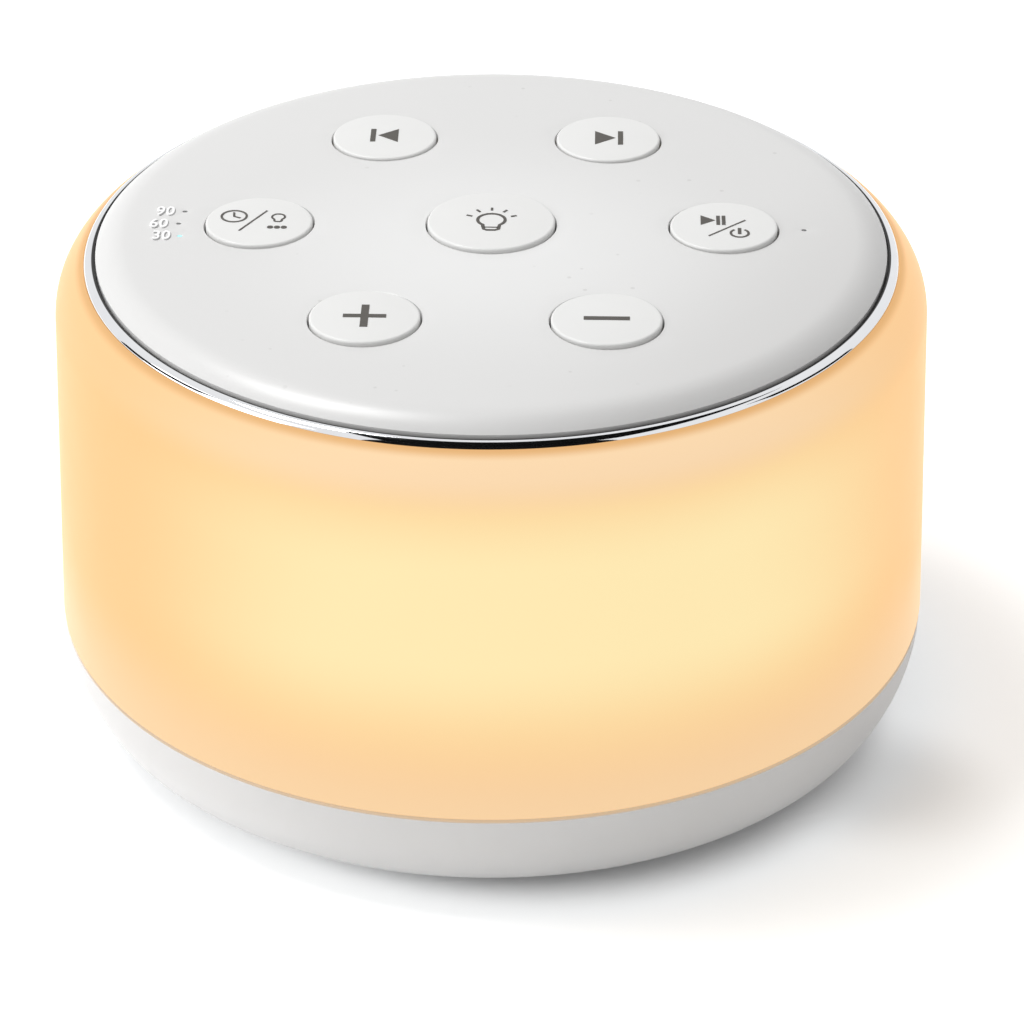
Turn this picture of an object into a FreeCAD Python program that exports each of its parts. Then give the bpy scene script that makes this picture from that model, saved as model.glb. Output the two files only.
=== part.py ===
import FreeCAD, Part
import math
import os

import Sketcher

# White noise sound machine: a low round case of one clear glowing wall on a shallow foot pan,
# a bright metal ring, and a domed lid with six small keys round one larger light key.
# Millimetres, +Z up, origin on the floor under the middle of the case, front towards -Y.

doc = FreeCAD.newDocument("SoundMachine")
sheet = doc.addObject("Spreadsheet::Sheet", "Size")
parts = []

# Driving dimensions
DIMENSIONS = {
    "margin": 1.0,
    "fit": 0.15,
    "corner_count": 4,
    "foot_height": 2.2,
    "foot_radius": 4.6,
    "foot_ring_inner": 3.0,
    "foot_hollow": 0.25,
    "foot_edge": 0.4,
    "foot_recess": 0.8,
    "foot_circle": 38.0,
    "pan_bottom": 1.4,
    "pan_floor": 2.0,
    "pan_flat_radius": 43.6,
    "pan_toe_radius": 5.2,
    "pan_knee_width": 48.01,
    "pan_knee_height": 3.85,
    "pan_side_radius": 15.8,
    "pan_rim_radius": 50.4,
    "pan_inner_flat": 43.0,
    "pan_inner_knee": 8.0,
    "seam_height": 12.2,
    "seam_gap": 0.4,
    "seat_radius": 49.4,
    "tongue_radius": 48.1,
    "tongue_wall": 1.5,
    "tongue_top": 16.0,
    "tongue_gap": 0.2,
    "base_hole_radius": 1.5,
    "base_recess_radius": 3.0,
    "base_recess_depth": 3.2,
    "case_radius": 50.45,
    "case_top_radius": 49.43,
    "case_wall": 2.2,
    "shoulder_height": 49.9,
    "shoulder_radius": 7.5,
    "flange_radius": 42.7,
    "flange_root": 45.91,
    "flange_thickness": 1.8,
    "ring_radius": 46.0,
    "ring_gap": 0.05,
    "ring_outer_height": 56.17,
    "ring_inner_height": 56.75,
    "ring_seat": 55.2,
    "ring_inner_radius": 42.75,
    "ring_bead_radius": 1.2,
    "lid_radius": 44.6,
    "lid_lip": 55.9,
    "lid_edge_height": 57.1,
    "lid_edge_radius": 5.14,
    "dome_radius": 41.2,
    "dome_foot": 58.68,
    "dome_top": 59.35,
    "lid_wall": 2.0,
    "skirt_bottom": 53.6,
    "collar_wall": 1.25,
    "collar_bottom": 55.1,
    "collar_sink": 0.3,
    "post_circle": 31.2,
    "post_radius": 2.6,
    "post_count": 3,
    "post_sink": 0.9,
    "post_gap": 0.3,
    "post_pilot_radius": 1.0,
    "post_pilot_depth": 7.0,
    "post_screw_hole": 1.5,
    "key_circle": 26.2,
    "key_count": 6,
    "key_radius": 6.05,
    "key_hole_radius": 6.25,
    "key_hole_depth": 6.0,
    "key_top": 59.5,
    "light_key_radius": 7.2,
    "light_key_hole_radius": 7.4,
    "light_key_top": 59.85,
    "key_edge": 0.45,
    "key_wall": 1.1,
    "key_plate": 1.4,
    "key_flange": 1.1,
    "key_flange_top": 54.9,
    "key_flange_bottom": 53.9,
    "key_stem_radius": 1.5,
    "plunger_radius": 1.7,
    "plunger_top": 54.6,
    "plunger_bottom": 52.4,
    "plunger_lip": 0.35,
    "plunger_lip_height": 0.7,
    "switch_width": 6.0,
    "switch_height": 3.2,
    "switch_cover": 0.5,
    "switch_mouth_depth": 1.0,
    "switch_well_depth": 1.9,
    "switch_well_gap": 0.55,
    "board_radius": 39.4,
    "board_bottom": 49.5,
    "board_top": 50.7,
    "board_hole_radius": 1.3,
    "boss_circle": 33.4,
    "boss_radius": 2.1,
    "boss_pilot_radius": 1.0,
    "boss_pilot_depth": 3.0,
    "core_radius": 36.0,
    "core_wall": 1.8,
    "core_bottom": 3.4,
    "deck_bottom": 44.9,
    "deck_top": 46.5,
    "lug_circle": 29.5,
    "lug_radius": 4.9,
    "lug_bottom": 8.2,
    "lug_top": 22.0,
    "lug_cap": 2.0,
    "lug_pilot_radius": 1.3,
    "lug_boss_radius": 4.4,
    "strip_bottom": 33.0,
    "strip_height": 9.0,
    "strip_thickness": 0.4,
    "strip_gap": 0.05,
    "strip_hole_start": 32.0,
    "strip_hole_depth": 6.0,
    "light_count": 12,
    "light_size": 5.0,
    "light_depth": 1.6,
    "window_circle": 35.3,
    "window_length": 1.9,
    "window_width": 0.8,
    "window_depth": 4.0,
    "indicator_length": 2.0,
    "indicator_width": 1.2,
    "indicator_height": 0.6,
    "pipe_foot_length": 2.4,
    "pipe_foot_width": 1.4,
    "pipe_foot_height": 5.4,
    "pipe_top": 58.85,
    "pipe_gap": 0.2,
    "slot_count": 12,
    "slot_inner": 5.6,
    "slot_outer": 14.0,
    "slot_radius": 0.8,
    "gasket_inner": 15.6,
    "gasket_outer": 18.8,
    "speaker_radius": 22.6,
    "speaker_seat": 4.2,
    "speaker_flange": 1.2,
    "speaker_screw_circle": 21.3,
    "speaker_boss_radius": 1.7,
    "speaker_pilot_radius": 0.9,
    "speaker_pilot_depth": 2.2,
    "speaker_hole_radius": 1.0,
    "basket_inner": 16.6,
    "basket_throat": 18.6,
    "basket_foot": 19.6,
    "basket_wall": 0.8,
    "basket_shelf": 10.4,
    "basket_shelf_depth": 1.6,
    "basket_window_circle": 16.2,
    "basket_window_radius": 2.6,
    "basket_window_top": 12.2,
    "basket_window_depth": 6.0,
    "basket_window_count": 8,
    "terminal_width": 6.0,
    "terminal_depth": 4.0,
    "surround_inner": 14.5,
    "surround_roll_inner": 15.0,
    "surround_roll_outer": 16.3,
    "surround_rim": 18.2,
    "surround_rise": 0.9,
    "surround_wall": 0.35,
    "surround_roll_radius": 1.1,
    "spider_inner": 4.4,
    "spider_outer": 11.8,
    "spider_thickness": 0.3,
    "spider_fold": 0.5,
    "cone_radius": 14.2,
    "cone_lip": 0.8,
    "cone_lip_rise": 1.0,
    "cone_paper": 0.4,
    "cone_cap_rise": 3.0,
    "cone_throat": 5.0,
    "cone_throat_rise": 4.3,
    "coil_radius": 4.0,
    "coil_wall": 0.3,
    "coil_gap": 0.35,
    "coil_top": 17.4,
    "former_foot": 8.8,
    "former_rise": 9.6,
    "pole_radius": 3.4,
    "plate_bottom": 14.0,
    "plate_top": 15.2,
    "magnet_hole_radius": 5.4,
    "magnet_radius": 12.0,
    "magnet_top": 20.6,
    "yoke_lip": 0.3,
    "yoke_edge": 0.5,
    "yoke_top": 22.4,
    "usb_width": 8.94,
    "usb_height": 3.26,
    "usb_depth": 7.6,
    "usb_mouth": 49.2,
    "usb_gap": 0.25,
    "usb_wall": 0.3,
    "usb_cavity": 6.0,
    "usb_cut_start": 44.0,
    "usb_cut_depth": 8.0,
    "usb_tongue_width": 6.6,
    "usb_tongue_height": 0.7,
    "usb_tongue_start": 1.2,
    "usb_tongue_length": 5.2,
    "plug_recess_width": 12.2,
    "plug_recess_height": 6.6,
    "plug_recess_depth": 0.6,
    "plug_recess_reach": 4.0,
    "inlet_board_bottom": 5.0,
    "inlet_board_top": 6.2,
    "inlet_board_back": 36.75,
    "inlet_board_width": 19.0,
    "inlet_board_depth": 14.5,
    "inlet_post_side": 7.4,
    "inlet_post_back": 37.5,
    "inlet_post_radius": 1.8,
    "inlet_hole_radius": 0.9,
    "inlet_notch_width": 22.0,
    "inlet_notch_depth": 8.0,
    "inlet_notch_top": 10.2,
    "inlet_notch_height": 9.0,
    "plug_width": 5.0,
    "plug_depth": 4.0,
    "plug_height": 2.0,
    "lead_radius": 0.9,
    "lead_gap": 0.5,
}

for row, (alias, number) in enumerate(DIMENSIONS.items(), start=1):
    sheet.set(f"A{row}", alias.replace("_", " "))
    sheet.set(f"B{row}", str(number))
    sheet.setAlias(f"B{row}", alias)
doc.recompute()


def size(expression):
    """The number that an expression on the sheet gives now."""
    return float(sheet.evalExpression(expression.replace("Size.", "")))


# Tools that every sub-part uses


def new_body(label, turn=0.0):
    """An empty body that becomes one sub-part, turned about the middle axis by some degrees."""
    body = doc.addObject("PartDesign::Body", label)
    body.Label = label
    body.Placement = FreeCAD.Placement(
        FreeCAD.Vector(0, 0, 0), FreeCAD.Rotation(FreeCAD.Vector(0, 0, 1), turn))
    parts.append(body)
    return body


def origin_item(body, role):
    """One plane or axis of the body's own origin."""
    return next(item for item in body.Origin.OriginFeatures if item.Role == role)


def new_sketch(body, role, along="0", height="0"):
    """A sketch on an origin plane, moved along X and off the plane by expressions."""
    sketch = body.newObject("Sketcher::SketchObject", body.Name + "_sketch")
    sketch.AttachmentSupport = [(origin_item(body, role), "")]
    sketch.MapMode = "FlatFace"
    sketch.setExpression("AttachmentOffset.Base.x", along)
    sketch.setExpression("AttachmentOffset.Base.z", height)
    return sketch


def bind(sketch, constraint, expression):
    """Add a size to the sketch and tie it to the sheet."""
    index = sketch.addConstraint(constraint)
    sketch.setExpression(f"Constraints[{index}]", expression)


def pin_point(sketch, edge, end, x, y):
    """Hold a point of an edge at coordinates that are expressions on the sheet."""
    bind(sketch, Sketcher.Constraint("DistanceX", -1, 1, edge, end, size(x)), x)
    bind(sketch, Sketcher.Constraint("DistanceY", -1, 1, edge, end, size(y)), y)


def bulge_centre(start, end, radius, side):
    """Centre of the short arc from start to end: side 1 bulges right of the way, -1 left."""
    half = (end - start) * 0.5
    across = FreeCAD.Vector(-half.y, half.x, 0).normalize()
    reach = math.sqrt(max(radius ** 2 - half.Length ** 2, 0.0))
    return start + half + across * (reach * side)


def outline(sketch, corners):
    """A closed outline. A corner is (x, y) and an arc that leaves it adds (radius, side)."""
    spots = [FreeCAD.Vector(size(corner[0]), size(corner[1]), 0) for corner in corners]
    heads = []
    for number, corner in enumerate(corners):
        start = spots[number]
        end = spots[(number + 1) % len(spots)]
        if len(corner) == 2:
            edge = sketch.addGeometry(Part.LineSegment(start, end))
            heads.append((edge, 1, 2))
            continue
        radius = size(corner[2])
        side = corner[3]
        centre = bulge_centre(start, end, radius, side)
        first, last = (start, end) if side == 1 else (end, start)
        angles = [math.atan2(spot.y - centre.y, spot.x - centre.x) for spot in (first, last)]
        circle = Part.Circle(centre, FreeCAD.Vector(0, 0, 1), radius)
        edge = sketch.addGeometry(Part.ArcOfCircle(circle, angles[0], angles[1]))
        heads.append((edge, 1, 2) if side == 1 else (edge, 2, 1))
        bind(sketch, Sketcher.Constraint("Radius", edge, radius), corner[2])
    for number, corner in enumerate(corners):
        edge, begin, finish = heads[number]
        following, following_begin, _ = heads[(number + 1) % len(heads)]
        sketch.addConstraint(
            Sketcher.Constraint("Coincident", edge, finish, following, following_begin))
        pin_point(sketch, edge, begin, corner[0], corner[1])
    return sketch


def circle(sketch, radius, x="0", y="0"):
    """A circle whose radius and middle are expressions."""
    spot = FreeCAD.Vector(size(x), size(y), 0)
    edge = sketch.addGeometry(Part.Circle(spot, FreeCAD.Vector(0, 0, 1), size(radius)))
    bind(sketch, Sketcher.Constraint("Radius", edge, size(radius)), radius)
    pin_point(sketch, edge, 3, x, y)
    return sketch


def rectangle(sketch, x, y, width, depth):
    """A rectangle about a middle point."""
    left = f"{x} - ({width}) / 2"
    right = f"{x} + ({width}) / 2"
    near = f"{y} - ({depth}) / 2"
    far = f"{y} + ({depth}) / 2"
    return outline(sketch, [(left, near), (right, near), (right, far), (left, far)])


def revolve(body, corners, along="0"):
    """Turn an outline of (radius, height) corners about the sketch's own upright axis."""
    sketch = outline(new_sketch(body, "XZ_Plane", along), corners)
    feature = body.newObject("PartDesign::Revolution", body.Name + "_turned")
    feature.Profile = sketch
    feature.ReferenceAxis = (sketch, ["V_Axis"])
    feature.Angle = 360.0
    return feature


def pad(body, sketch, length):
    """Raise a sketch by a length."""
    feature = body.newObject("PartDesign::Pad", body.Name + "_pad")
    feature.Profile = sketch
    feature.setExpression("Length", length)
    return feature


def pocket(body, sketch, depth):
    """Cut down from a sketch by a depth, and make sure that it took material away."""
    doc.recompute()
    before = body.Shape.Volume
    feature = body.newObject("PartDesign::Pocket", body.Name + "_pocket")
    feature.Profile = sketch
    feature.setExpression("Length", depth)
    doc.recompute()
    if body.Shape.Volume > before - 0.01:
        raise ValueError(f"the pocket of {body.Label} cuts nothing")
    return feature


def around(body, features, count):
    """Repeat features about the middle axis."""
    pattern = body.newObject("PartDesign::PolarPattern", body.Name + "_pattern")
    pattern.Originals = features
    pattern.Axis = (origin_item(body, "Z_Axis"), [""])
    pattern.Angle = 360.0
    pattern.setExpression("Occurrences", count)
    body.Tip = pattern
    return pattern


# A half-round end needs an arc radius just over half its width
ROUND_END = "1.001"
CORNER = "45 deg"


# Foot pan: a shallow dish that carries the speaker, the core and the socket


def rounded_bar(sketch, width, height, middle):
    """A flat bar with half round ends, as the socket's mouth has."""
    half = f"({width} - ({height})) / 2"
    low = f"{middle} - ({height}) / 2"
    high = f"{middle} + ({height}) / 2"
    end = f"({height}) / 2 * {ROUND_END}"
    return outline(sketch, [
        (f"-{half}", low), (half, low, end, 1), (half, high), (f"-{half}", high, end, 1)])


def on_corner(circle_radius):
    """Both coordinates of a spot on the diagonal of a circle."""
    return f"{circle_radius} * cos({CORNER})", f"{circle_radius} * sin({CORNER})"


def make_pan():
    body = new_body("base_pan")
    inner_floor = "Size.pan_bottom + Size.pan_floor"
    tongue_inner = "Size.tongue_radius - Size.tongue_wall"
    revolve(body, [
        ("0", "Size.pan_bottom"),
        ("Size.pan_flat_radius", "Size.pan_bottom", "Size.pan_toe_radius", 1),
        ("Size.pan_knee_width", "Size.pan_knee_height", "Size.pan_side_radius", 1),
        ("Size.pan_rim_radius", "Size.seam_height"),
        ("Size.seat_radius", "Size.seam_height"),
        ("Size.seat_radius", "Size.seam_height + Size.seam_gap"),
        ("Size.tongue_radius", "Size.seam_height + Size.seam_gap"),
        ("Size.tongue_radius", "Size.tongue_top"),
        (tongue_inner, "Size.tongue_top"),
        (tongue_inner, "Size.pan_inner_knee", "Size.pan_toe_radius", -1),
        ("Size.pan_inner_flat", inner_floor),
        ("0", inner_floor)])

    def corner_boss(radius, height, x, y):
        boss = pad(body, circle(new_sketch(body, "XY_Plane", height=inner_floor), radius, x, y),
                   height)
        around(body, [boss], "Size.corner_count")

    def corner_cut(radius, top, depth, x, y):
        cut = pocket(body, circle(new_sketch(body, "XY_Plane", height=top), radius, x, y), depth)
        around(body, [cut], "Size.corner_count")

    lug = on_corner("Size.lug_circle")
    corner_boss("Size.lug_boss_radius", "Size.lug_bottom - Size.core_bottom", *lug)
    corner_boss("Size.speaker_boss_radius", "Size.speaker_seat - Size.core_bottom",
                "0", "Size.speaker_screw_circle")
    corner_cut("Size.foot_radius + Size.fit", "Size.pan_bottom + Size.foot_recess",
               "Size.foot_recess", *on_corner("Size.foot_circle"))
    corner_cut("Size.base_hole_radius", "Size.lug_bottom", "Size.lug_bottom - Size.pan_bottom",
               *lug)
    corner_cut("Size.base_recess_radius", "Size.pan_bottom + Size.base_recess_depth",
               "Size.base_recess_depth", *lug)
    corner_cut("Size.speaker_pilot_radius", "Size.speaker_seat", "Size.speaker_pilot_depth",
               "Size.speaker_screw_circle", "0")

    round_end = f"Size.slot_radius * {ROUND_END}"
    slot = pocket(body, outline(new_sketch(body, "XY_Plane", height=inner_floor), [
        ("Size.slot_inner", "-Size.slot_radius"),
        ("Size.slot_outer", "-Size.slot_radius", round_end, 1),
        ("Size.slot_outer", "Size.slot_radius"),
        ("Size.slot_inner", "Size.slot_radius", round_end, 1)]), "Size.pan_floor")
    around(body, [slot], "Size.slot_count")

    for side in ("-Size.inlet_post_side", "Size.inlet_post_side"):
        pad(body, circle(new_sketch(body, "XY_Plane", height=inner_floor),
                         "Size.inlet_post_radius", side, "Size.inlet_post_back"),
            "Size.inlet_board_bottom - Size.core_bottom")
    socket_middle = "Size.inlet_board_top + Size.usb_height / 2"
    sketch = new_sketch(body, "XZ_Plane", height="-Size.usb_cut_start")
    pocket(body, rounded_bar(sketch, "Size.usb_width + 2 * Size.usb_gap",
                             "Size.usb_height + 2 * Size.usb_gap", socket_middle),
           "Size.usb_cut_depth")
    sketch = new_sketch(body, "XZ_Plane", height="-(Size.usb_mouth - Size.plug_recess_depth)")
    pocket(body, rounded_bar(sketch, "Size.plug_recess_width", "Size.plug_recess_height",
                             socket_middle), "Size.plug_recess_reach")


def make_feet():
    body = new_body("rubber_feet", 45.0)
    foot = revolve(body, [
        ("0", "Size.foot_hollow"),
        ("Size.foot_ring_inner", "Size.foot_hollow"),
        ("Size.foot_ring_inner", "0"),
        ("Size.foot_radius - Size.foot_edge", "0"),
        ("Size.foot_radius", "Size.foot_edge"),
        ("Size.foot_radius", "Size.foot_height"),
        ("0", "Size.foot_height")], "Size.foot_circle")
    around(body, [foot], "Size.corner_count")


# Screws: the drive recess goes half way into the head, and the head's rim tapers a little

DRIVE_DEPTH = "0.5"
DRIVE_WIDTH = "0.4"
HEAD_TAPER = "0.9"


def screws(label, circle_radius, head_radius, shaft_radius, seat, head, tip, count, turn):
    """A ring of screws: the head lies past the seat, and the shaft runs from it to the tip."""
    body = new_body(label, turn)
    drive = f"{seat} + ({head} - ({seat})) * {DRIVE_DEPTH}"
    screw = revolve(body, [
        ("0", drive),
        (f"{head_radius} * {DRIVE_WIDTH}", drive),
        (f"{head_radius} * {DRIVE_WIDTH}", head),
        (f"{head_radius} * {HEAD_TAPER}", head),
        (head_radius, seat),
        (shaft_radius, seat),
        (shaft_radius, tip),
        ("0", tip)], circle_radius)
    around(body, [screw], count)


def make_diffuser():
    body = new_body("diffuser")
    low = "Size.seam_height + Size.seam_gap"
    flange_bottom = "Size.ring_seat - Size.flange_thickness"
    revolve(body, [
        ("Size.tongue_radius + Size.tongue_gap", low),
        ("Size.case_radius", low),
        ("Size.case_top_radius", "Size.shoulder_height", "Size.shoulder_radius", 1),
        ("Size.ring_radius + Size.ring_gap", "Size.ring_outer_height"),
        ("Size.ring_radius + Size.ring_gap", "Size.ring_seat"),
        ("Size.flange_radius", "Size.ring_seat"),
        ("Size.flange_radius", flange_bottom),
        ("Size.flange_root", flange_bottom, "Size.shoulder_radius - Size.case_wall", -1),
        ("Size.case_top_radius - Size.case_wall", "Size.shoulder_height")])


def make_ring():
    body = new_body("chrome_ring")
    revolve(body, [
        ("Size.ring_inner_radius", "Size.ring_seat"),
        ("Size.ring_radius", "Size.ring_seat"),
        ("Size.ring_radius", "Size.ring_outer_height", "Size.ring_bead_radius", 1),
        ("Size.lid_radius + Size.fit", "Size.ring_inner_height"),
        ("Size.lid_radius + Size.fit", "Size.lid_lip"),
        ("Size.ring_inner_radius", "Size.lid_lip")])


# Lid: a thin dome with collars round the key holes and three posts for its screws

WINDOWS = {"window_90": 174.3, "window_60": 179.3, "window_30": 184.3, "window_power": 0.5}


def window_spot(angle):
    """Middle of a light window as two expressions."""
    return f"Size.window_circle * cos({angle} deg)", f"Size.window_circle * sin({angle} deg)"


def make_lid():
    body = new_body("top_cover")
    rise = "(Size.dome_top - Size.dome_foot)"
    dome = f"(Size.dome_radius ^ 2 + {rise} ^ 2) / (2 * {rise})"
    skirt = "Size.ring_inner_radius - Size.fit"
    revolve(body, [
        (skirt, "Size.lid_lip"),
        ("Size.lid_radius", "Size.lid_lip"),
        ("Size.lid_radius", "Size.lid_edge_height", "Size.lid_edge_radius", 1),
        ("Size.dome_radius", "Size.dome_foot", dome, 1),
        ("0", "Size.dome_top"),
        ("0", "Size.dome_top - Size.lid_wall", dome, -1),
        ("Size.dome_radius", "Size.dome_foot - Size.lid_wall"),
        ("Size.dome_radius", "Size.skirt_bottom"),
        (skirt, "Size.skirt_bottom")])

    collar_height = "Size.dome_top - Size.lid_wall + Size.collar_sink - Size.collar_bottom"
    collar = pad(body, circle(
        new_sketch(body, "XY_Plane", height="Size.collar_bottom"),
        "Size.key_hole_radius + Size.collar_wall", "Size.key_circle"), collar_height)
    around(body, [collar], "Size.key_count")
    pad(body, circle(
        new_sketch(body, "XY_Plane", height="Size.collar_bottom"),
        "Size.light_key_hole_radius + Size.collar_wall"), collar_height)

    post = pad(body, circle(
        new_sketch(body, "XY_Plane", height="Size.deck_top"), "Size.post_radius",
        "0", "Size.post_circle"),
        "Size.dome_foot - Size.lid_wall + Size.post_sink - Size.deck_top")
    around(body, [post], "Size.post_count")
    pilot = pocket(body, circle(
        new_sketch(body, "XY_Plane", height="Size.deck_top + Size.post_pilot_depth"),
        "Size.post_pilot_radius", "0", "Size.post_circle"), "Size.post_pilot_depth")
    around(body, [pilot], "Size.post_count")

    above = "Size.dome_top + Size.margin"
    hole_depth = "Size.key_hole_depth + Size.margin"
    hole = pocket(body, circle(new_sketch(body, "XY_Plane", height=above),
                               "Size.key_hole_radius", "Size.key_circle"), hole_depth)
    around(body, [hole], "Size.key_count")
    pocket(body, circle(new_sketch(body, "XY_Plane", height=above),
                        "Size.light_key_hole_radius"), hole_depth)
    sketch = new_sketch(body, "XY_Plane", height="Size.dome_top")
    for angle in WINDOWS.values():
        rectangle(sketch, *window_spot(angle), "Size.window_length", "Size.window_width")
    pocket(body, sketch, "Size.window_depth")


# Keys: each cap is a cup with a flange that stops under the lid and a stem on its switch

KEY_ANGLES = {
    "play": 0.0, "next": 60.0, "previous": 120.0,
    "timer": 180.0, "volume_up": 240.0, "volume_down": 300.0}


def make_key(name, radius, top, along, turn):
    body = new_body(f"{name}_key", turn)
    inner = f"{radius} - Size.key_wall"
    underside = f"{top} - Size.key_plate"
    revolve(body, [
        ("0", top),
        ("0", "Size.plunger_top"),
        ("Size.key_stem_radius", "Size.plunger_top"),
        ("Size.key_stem_radius", underside),
        (inner, underside),
        (inner, "Size.key_flange_bottom"),
        (f"{radius} + Size.key_flange", "Size.key_flange_bottom"),
        (f"{radius} + Size.key_flange", "Size.key_flange_top"),
        (radius, "Size.key_flange_top"),
        (radius, f"{top} - Size.key_edge", f"Size.key_edge * {ROUND_END}", 1),
        (f"{radius} - Size.key_edge", top)], along)


def make_plunger(name, along, turn):
    body = new_body(f"{name}_plunger", turn)
    lip = "Size.plunger_bottom + Size.plunger_lip_height"
    revolve(body, [
        ("0", "Size.plunger_bottom"),
        ("Size.plunger_radius + Size.plunger_lip", "Size.plunger_bottom"),
        ("Size.plunger_radius + Size.plunger_lip", lip),
        ("Size.plunger_radius", lip),
        ("Size.plunger_radius", "Size.plunger_top"),
        ("0", "Size.plunger_top")], along)


def make_switches():
    body = new_body("switch_housings")
    top = "Size.board_top + Size.switch_height"

    def housing(along):
        block = pad(body, rectangle(new_sketch(body, "XY_Plane", height="Size.board_top"),
                                    along, "0", "Size.switch_width", "Size.switch_width"),
                    "Size.switch_height")
        well = pocket(body, circle(
            new_sketch(body, "XY_Plane", height=f"{top} - Size.switch_cover"),
            "Size.plunger_radius + Size.switch_well_gap", along), "Size.switch_well_depth")
        mouth = pocket(body, circle(
            new_sketch(body, "XY_Plane", height=top),
            "Size.plunger_radius + Size.fit", along), "Size.switch_mouth_depth")
        return [block, well, mouth]

    around(body, housing("Size.key_circle"), "Size.key_count")
    housing("0")


def make_main_board():
    body = new_body("main_board")
    thickness = "Size.board_top - Size.board_bottom"
    pad(body, circle(new_sketch(body, "XY_Plane", height="Size.board_bottom"),
                     "Size.board_radius"), thickness)
    for radius, spot in (("Size.post_radius + Size.post_gap", "Size.post_circle"),
                         ("Size.board_hole_radius", "-Size.boss_circle")):
        hole = pocket(body, circle(new_sketch(body, "XY_Plane", height="Size.board_top"),
                                   radius, "0", spot), f"{thickness} + Size.margin")
        around(body, [hole], "Size.post_count")


def make_core():
    body = new_body("inner_core")
    inner = "Size.core_radius - Size.core_wall"
    revolve(body, [
        (inner, "Size.core_bottom"),
        ("Size.core_radius", "Size.core_bottom"),
        ("Size.core_radius", "Size.deck_top"),
        ("0", "Size.deck_top"),
        ("0", "Size.deck_bottom"),
        (inner, "Size.deck_bottom")])

    corner = on_corner("Size.lug_circle")
    lug = pad(body, circle(new_sketch(body, "XY_Plane", height="Size.lug_bottom"),
                           "Size.lug_radius", *corner), "Size.lug_top - Size.lug_bottom")
    around(body, [lug], "Size.corner_count")
    pilot_top = "Size.lug_top - Size.lug_cap"
    pilot = pocket(body, circle(new_sketch(body, "XY_Plane", height=pilot_top),
                                "Size.lug_pilot_radius", *corner),
                   f"{pilot_top} - Size.lug_bottom")
    around(body, [pilot], "Size.corner_count")

    boss_bottom = "Size.deck_top - Size.margin"
    boss = pad(body, circle(new_sketch(body, "XY_Plane", height=boss_bottom),
                            "Size.boss_radius", "0", "-Size.boss_circle"),
               f"Size.board_bottom - ({boss_bottom})")
    around(body, [boss], "Size.post_count")
    pilot = pocket(body, circle(new_sketch(body, "XY_Plane", height="Size.board_bottom"),
                                "Size.boss_pilot_radius", "0", "-Size.boss_circle"),
                   "Size.boss_pilot_depth")
    around(body, [pilot], "Size.post_count")

    above_deck = "Size.deck_top + Size.margin"
    through_deck = "Size.deck_top - Size.deck_bottom + 2 * Size.margin"
    sketch = new_sketch(body, "XY_Plane", height=above_deck)
    for route in LEADS.values():
        circle(sketch, "Size.lead_radius + Size.lead_gap", str(route[-1][0]), str(route[-1][1]))
    pocket(body, sketch, through_deck)
    hole = pocket(body, circle(new_sketch(body, "XY_Plane", height=above_deck),
                               "Size.post_screw_hole", "0", "Size.post_circle"), through_deck)
    around(body, [hole], "Size.post_count")
    pocket(body, rectangle(new_sketch(body, "XY_Plane", height="Size.inlet_notch_top"),
                           "0", "Size.core_radius - Size.margin",
                           "Size.inlet_notch_width", "Size.inlet_notch_depth"),
           "Size.inlet_notch_height")
    sketch = new_sketch(body, "YZ_Plane", height="-Size.strip_hole_start")
    circle(sketch, "Size.lead_radius + Size.lead_gap",
           "0", "Size.strip_bottom + Size.strip_height / 2")
    pocket(body, sketch, "Size.strip_hole_depth")


def make_strip():
    body = new_body("light_strip")
    inner = "Size.core_radius + Size.strip_gap"
    outer = f"{inner} + Size.strip_thickness"
    high = "Size.strip_bottom + Size.strip_height"
    revolve(body, [
        (inner, "Size.strip_bottom"), (outer, "Size.strip_bottom"), (outer, high), (inner, high)])
    body = new_body("strip_lights", 15.0)
    light = pad(body, rectangle(
        new_sketch(body, "XY_Plane",
                   height="Size.strip_bottom + (Size.strip_height - Size.light_size) / 2"),
        f"{outer} + Size.light_depth / 2", "0", "Size.light_depth", "Size.light_size"),
        "Size.light_size")
    around(body, [light], "Size.light_count")


# Speaker: it lies face down over the slots of the foot pan

SPIDER_FOLDS = ["6.2", "8.0", "9.6"]


def make_speaker_frame():
    seat = "Size.speaker_seat"
    flange = "Size.speaker_seat + Size.speaker_flange"
    shelf_bottom = "Size.plate_bottom - Size.basket_shelf_depth"
    body = new_body("speaker_frame")
    revolve(body, [
        ("Size.basket_inner", seat),
        ("Size.speaker_radius", seat),
        ("Size.speaker_radius", flange),
        ("Size.basket_foot", flange),
        ("Size.magnet_radius + Size.basket_wall", "Size.plate_bottom"),
        ("Size.magnet_radius + Size.basket_wall", "Size.plate_top"),
        ("Size.coil_radius + Size.coil_gap", "Size.plate_top"),
        ("Size.coil_radius + Size.coil_gap", "Size.plate_bottom"),
        ("Size.basket_shelf", "Size.plate_bottom"),
        ("Size.basket_shelf", shelf_bottom),
        ("Size.magnet_radius", shelf_bottom),
        ("Size.basket_throat", flange),
        ("Size.basket_inner", flange)])
    window = pocket(body, circle(
        new_sketch(body, "XY_Plane", height="Size.basket_window_top"),
        "Size.basket_window_radius", "Size.basket_window_circle"), "Size.basket_window_depth")
    around(body, [window], "Size.basket_window_count")
    hole = pocket(body, circle(new_sketch(body, "XY_Plane", height=flange),
                               "Size.speaker_hole_radius", "Size.speaker_screw_circle"),
                  "Size.speaker_flange + Size.margin")
    around(body, [hole], "Size.corner_count")
    pad(body, rectangle(new_sketch(body, "XY_Plane", height="Size.plate_bottom"),
                        "0", "-(Size.magnet_radius + Size.terminal_depth / 2)",
                        "Size.terminal_width", "Size.terminal_depth"),
        "Size.plate_top - Size.plate_bottom")


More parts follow.
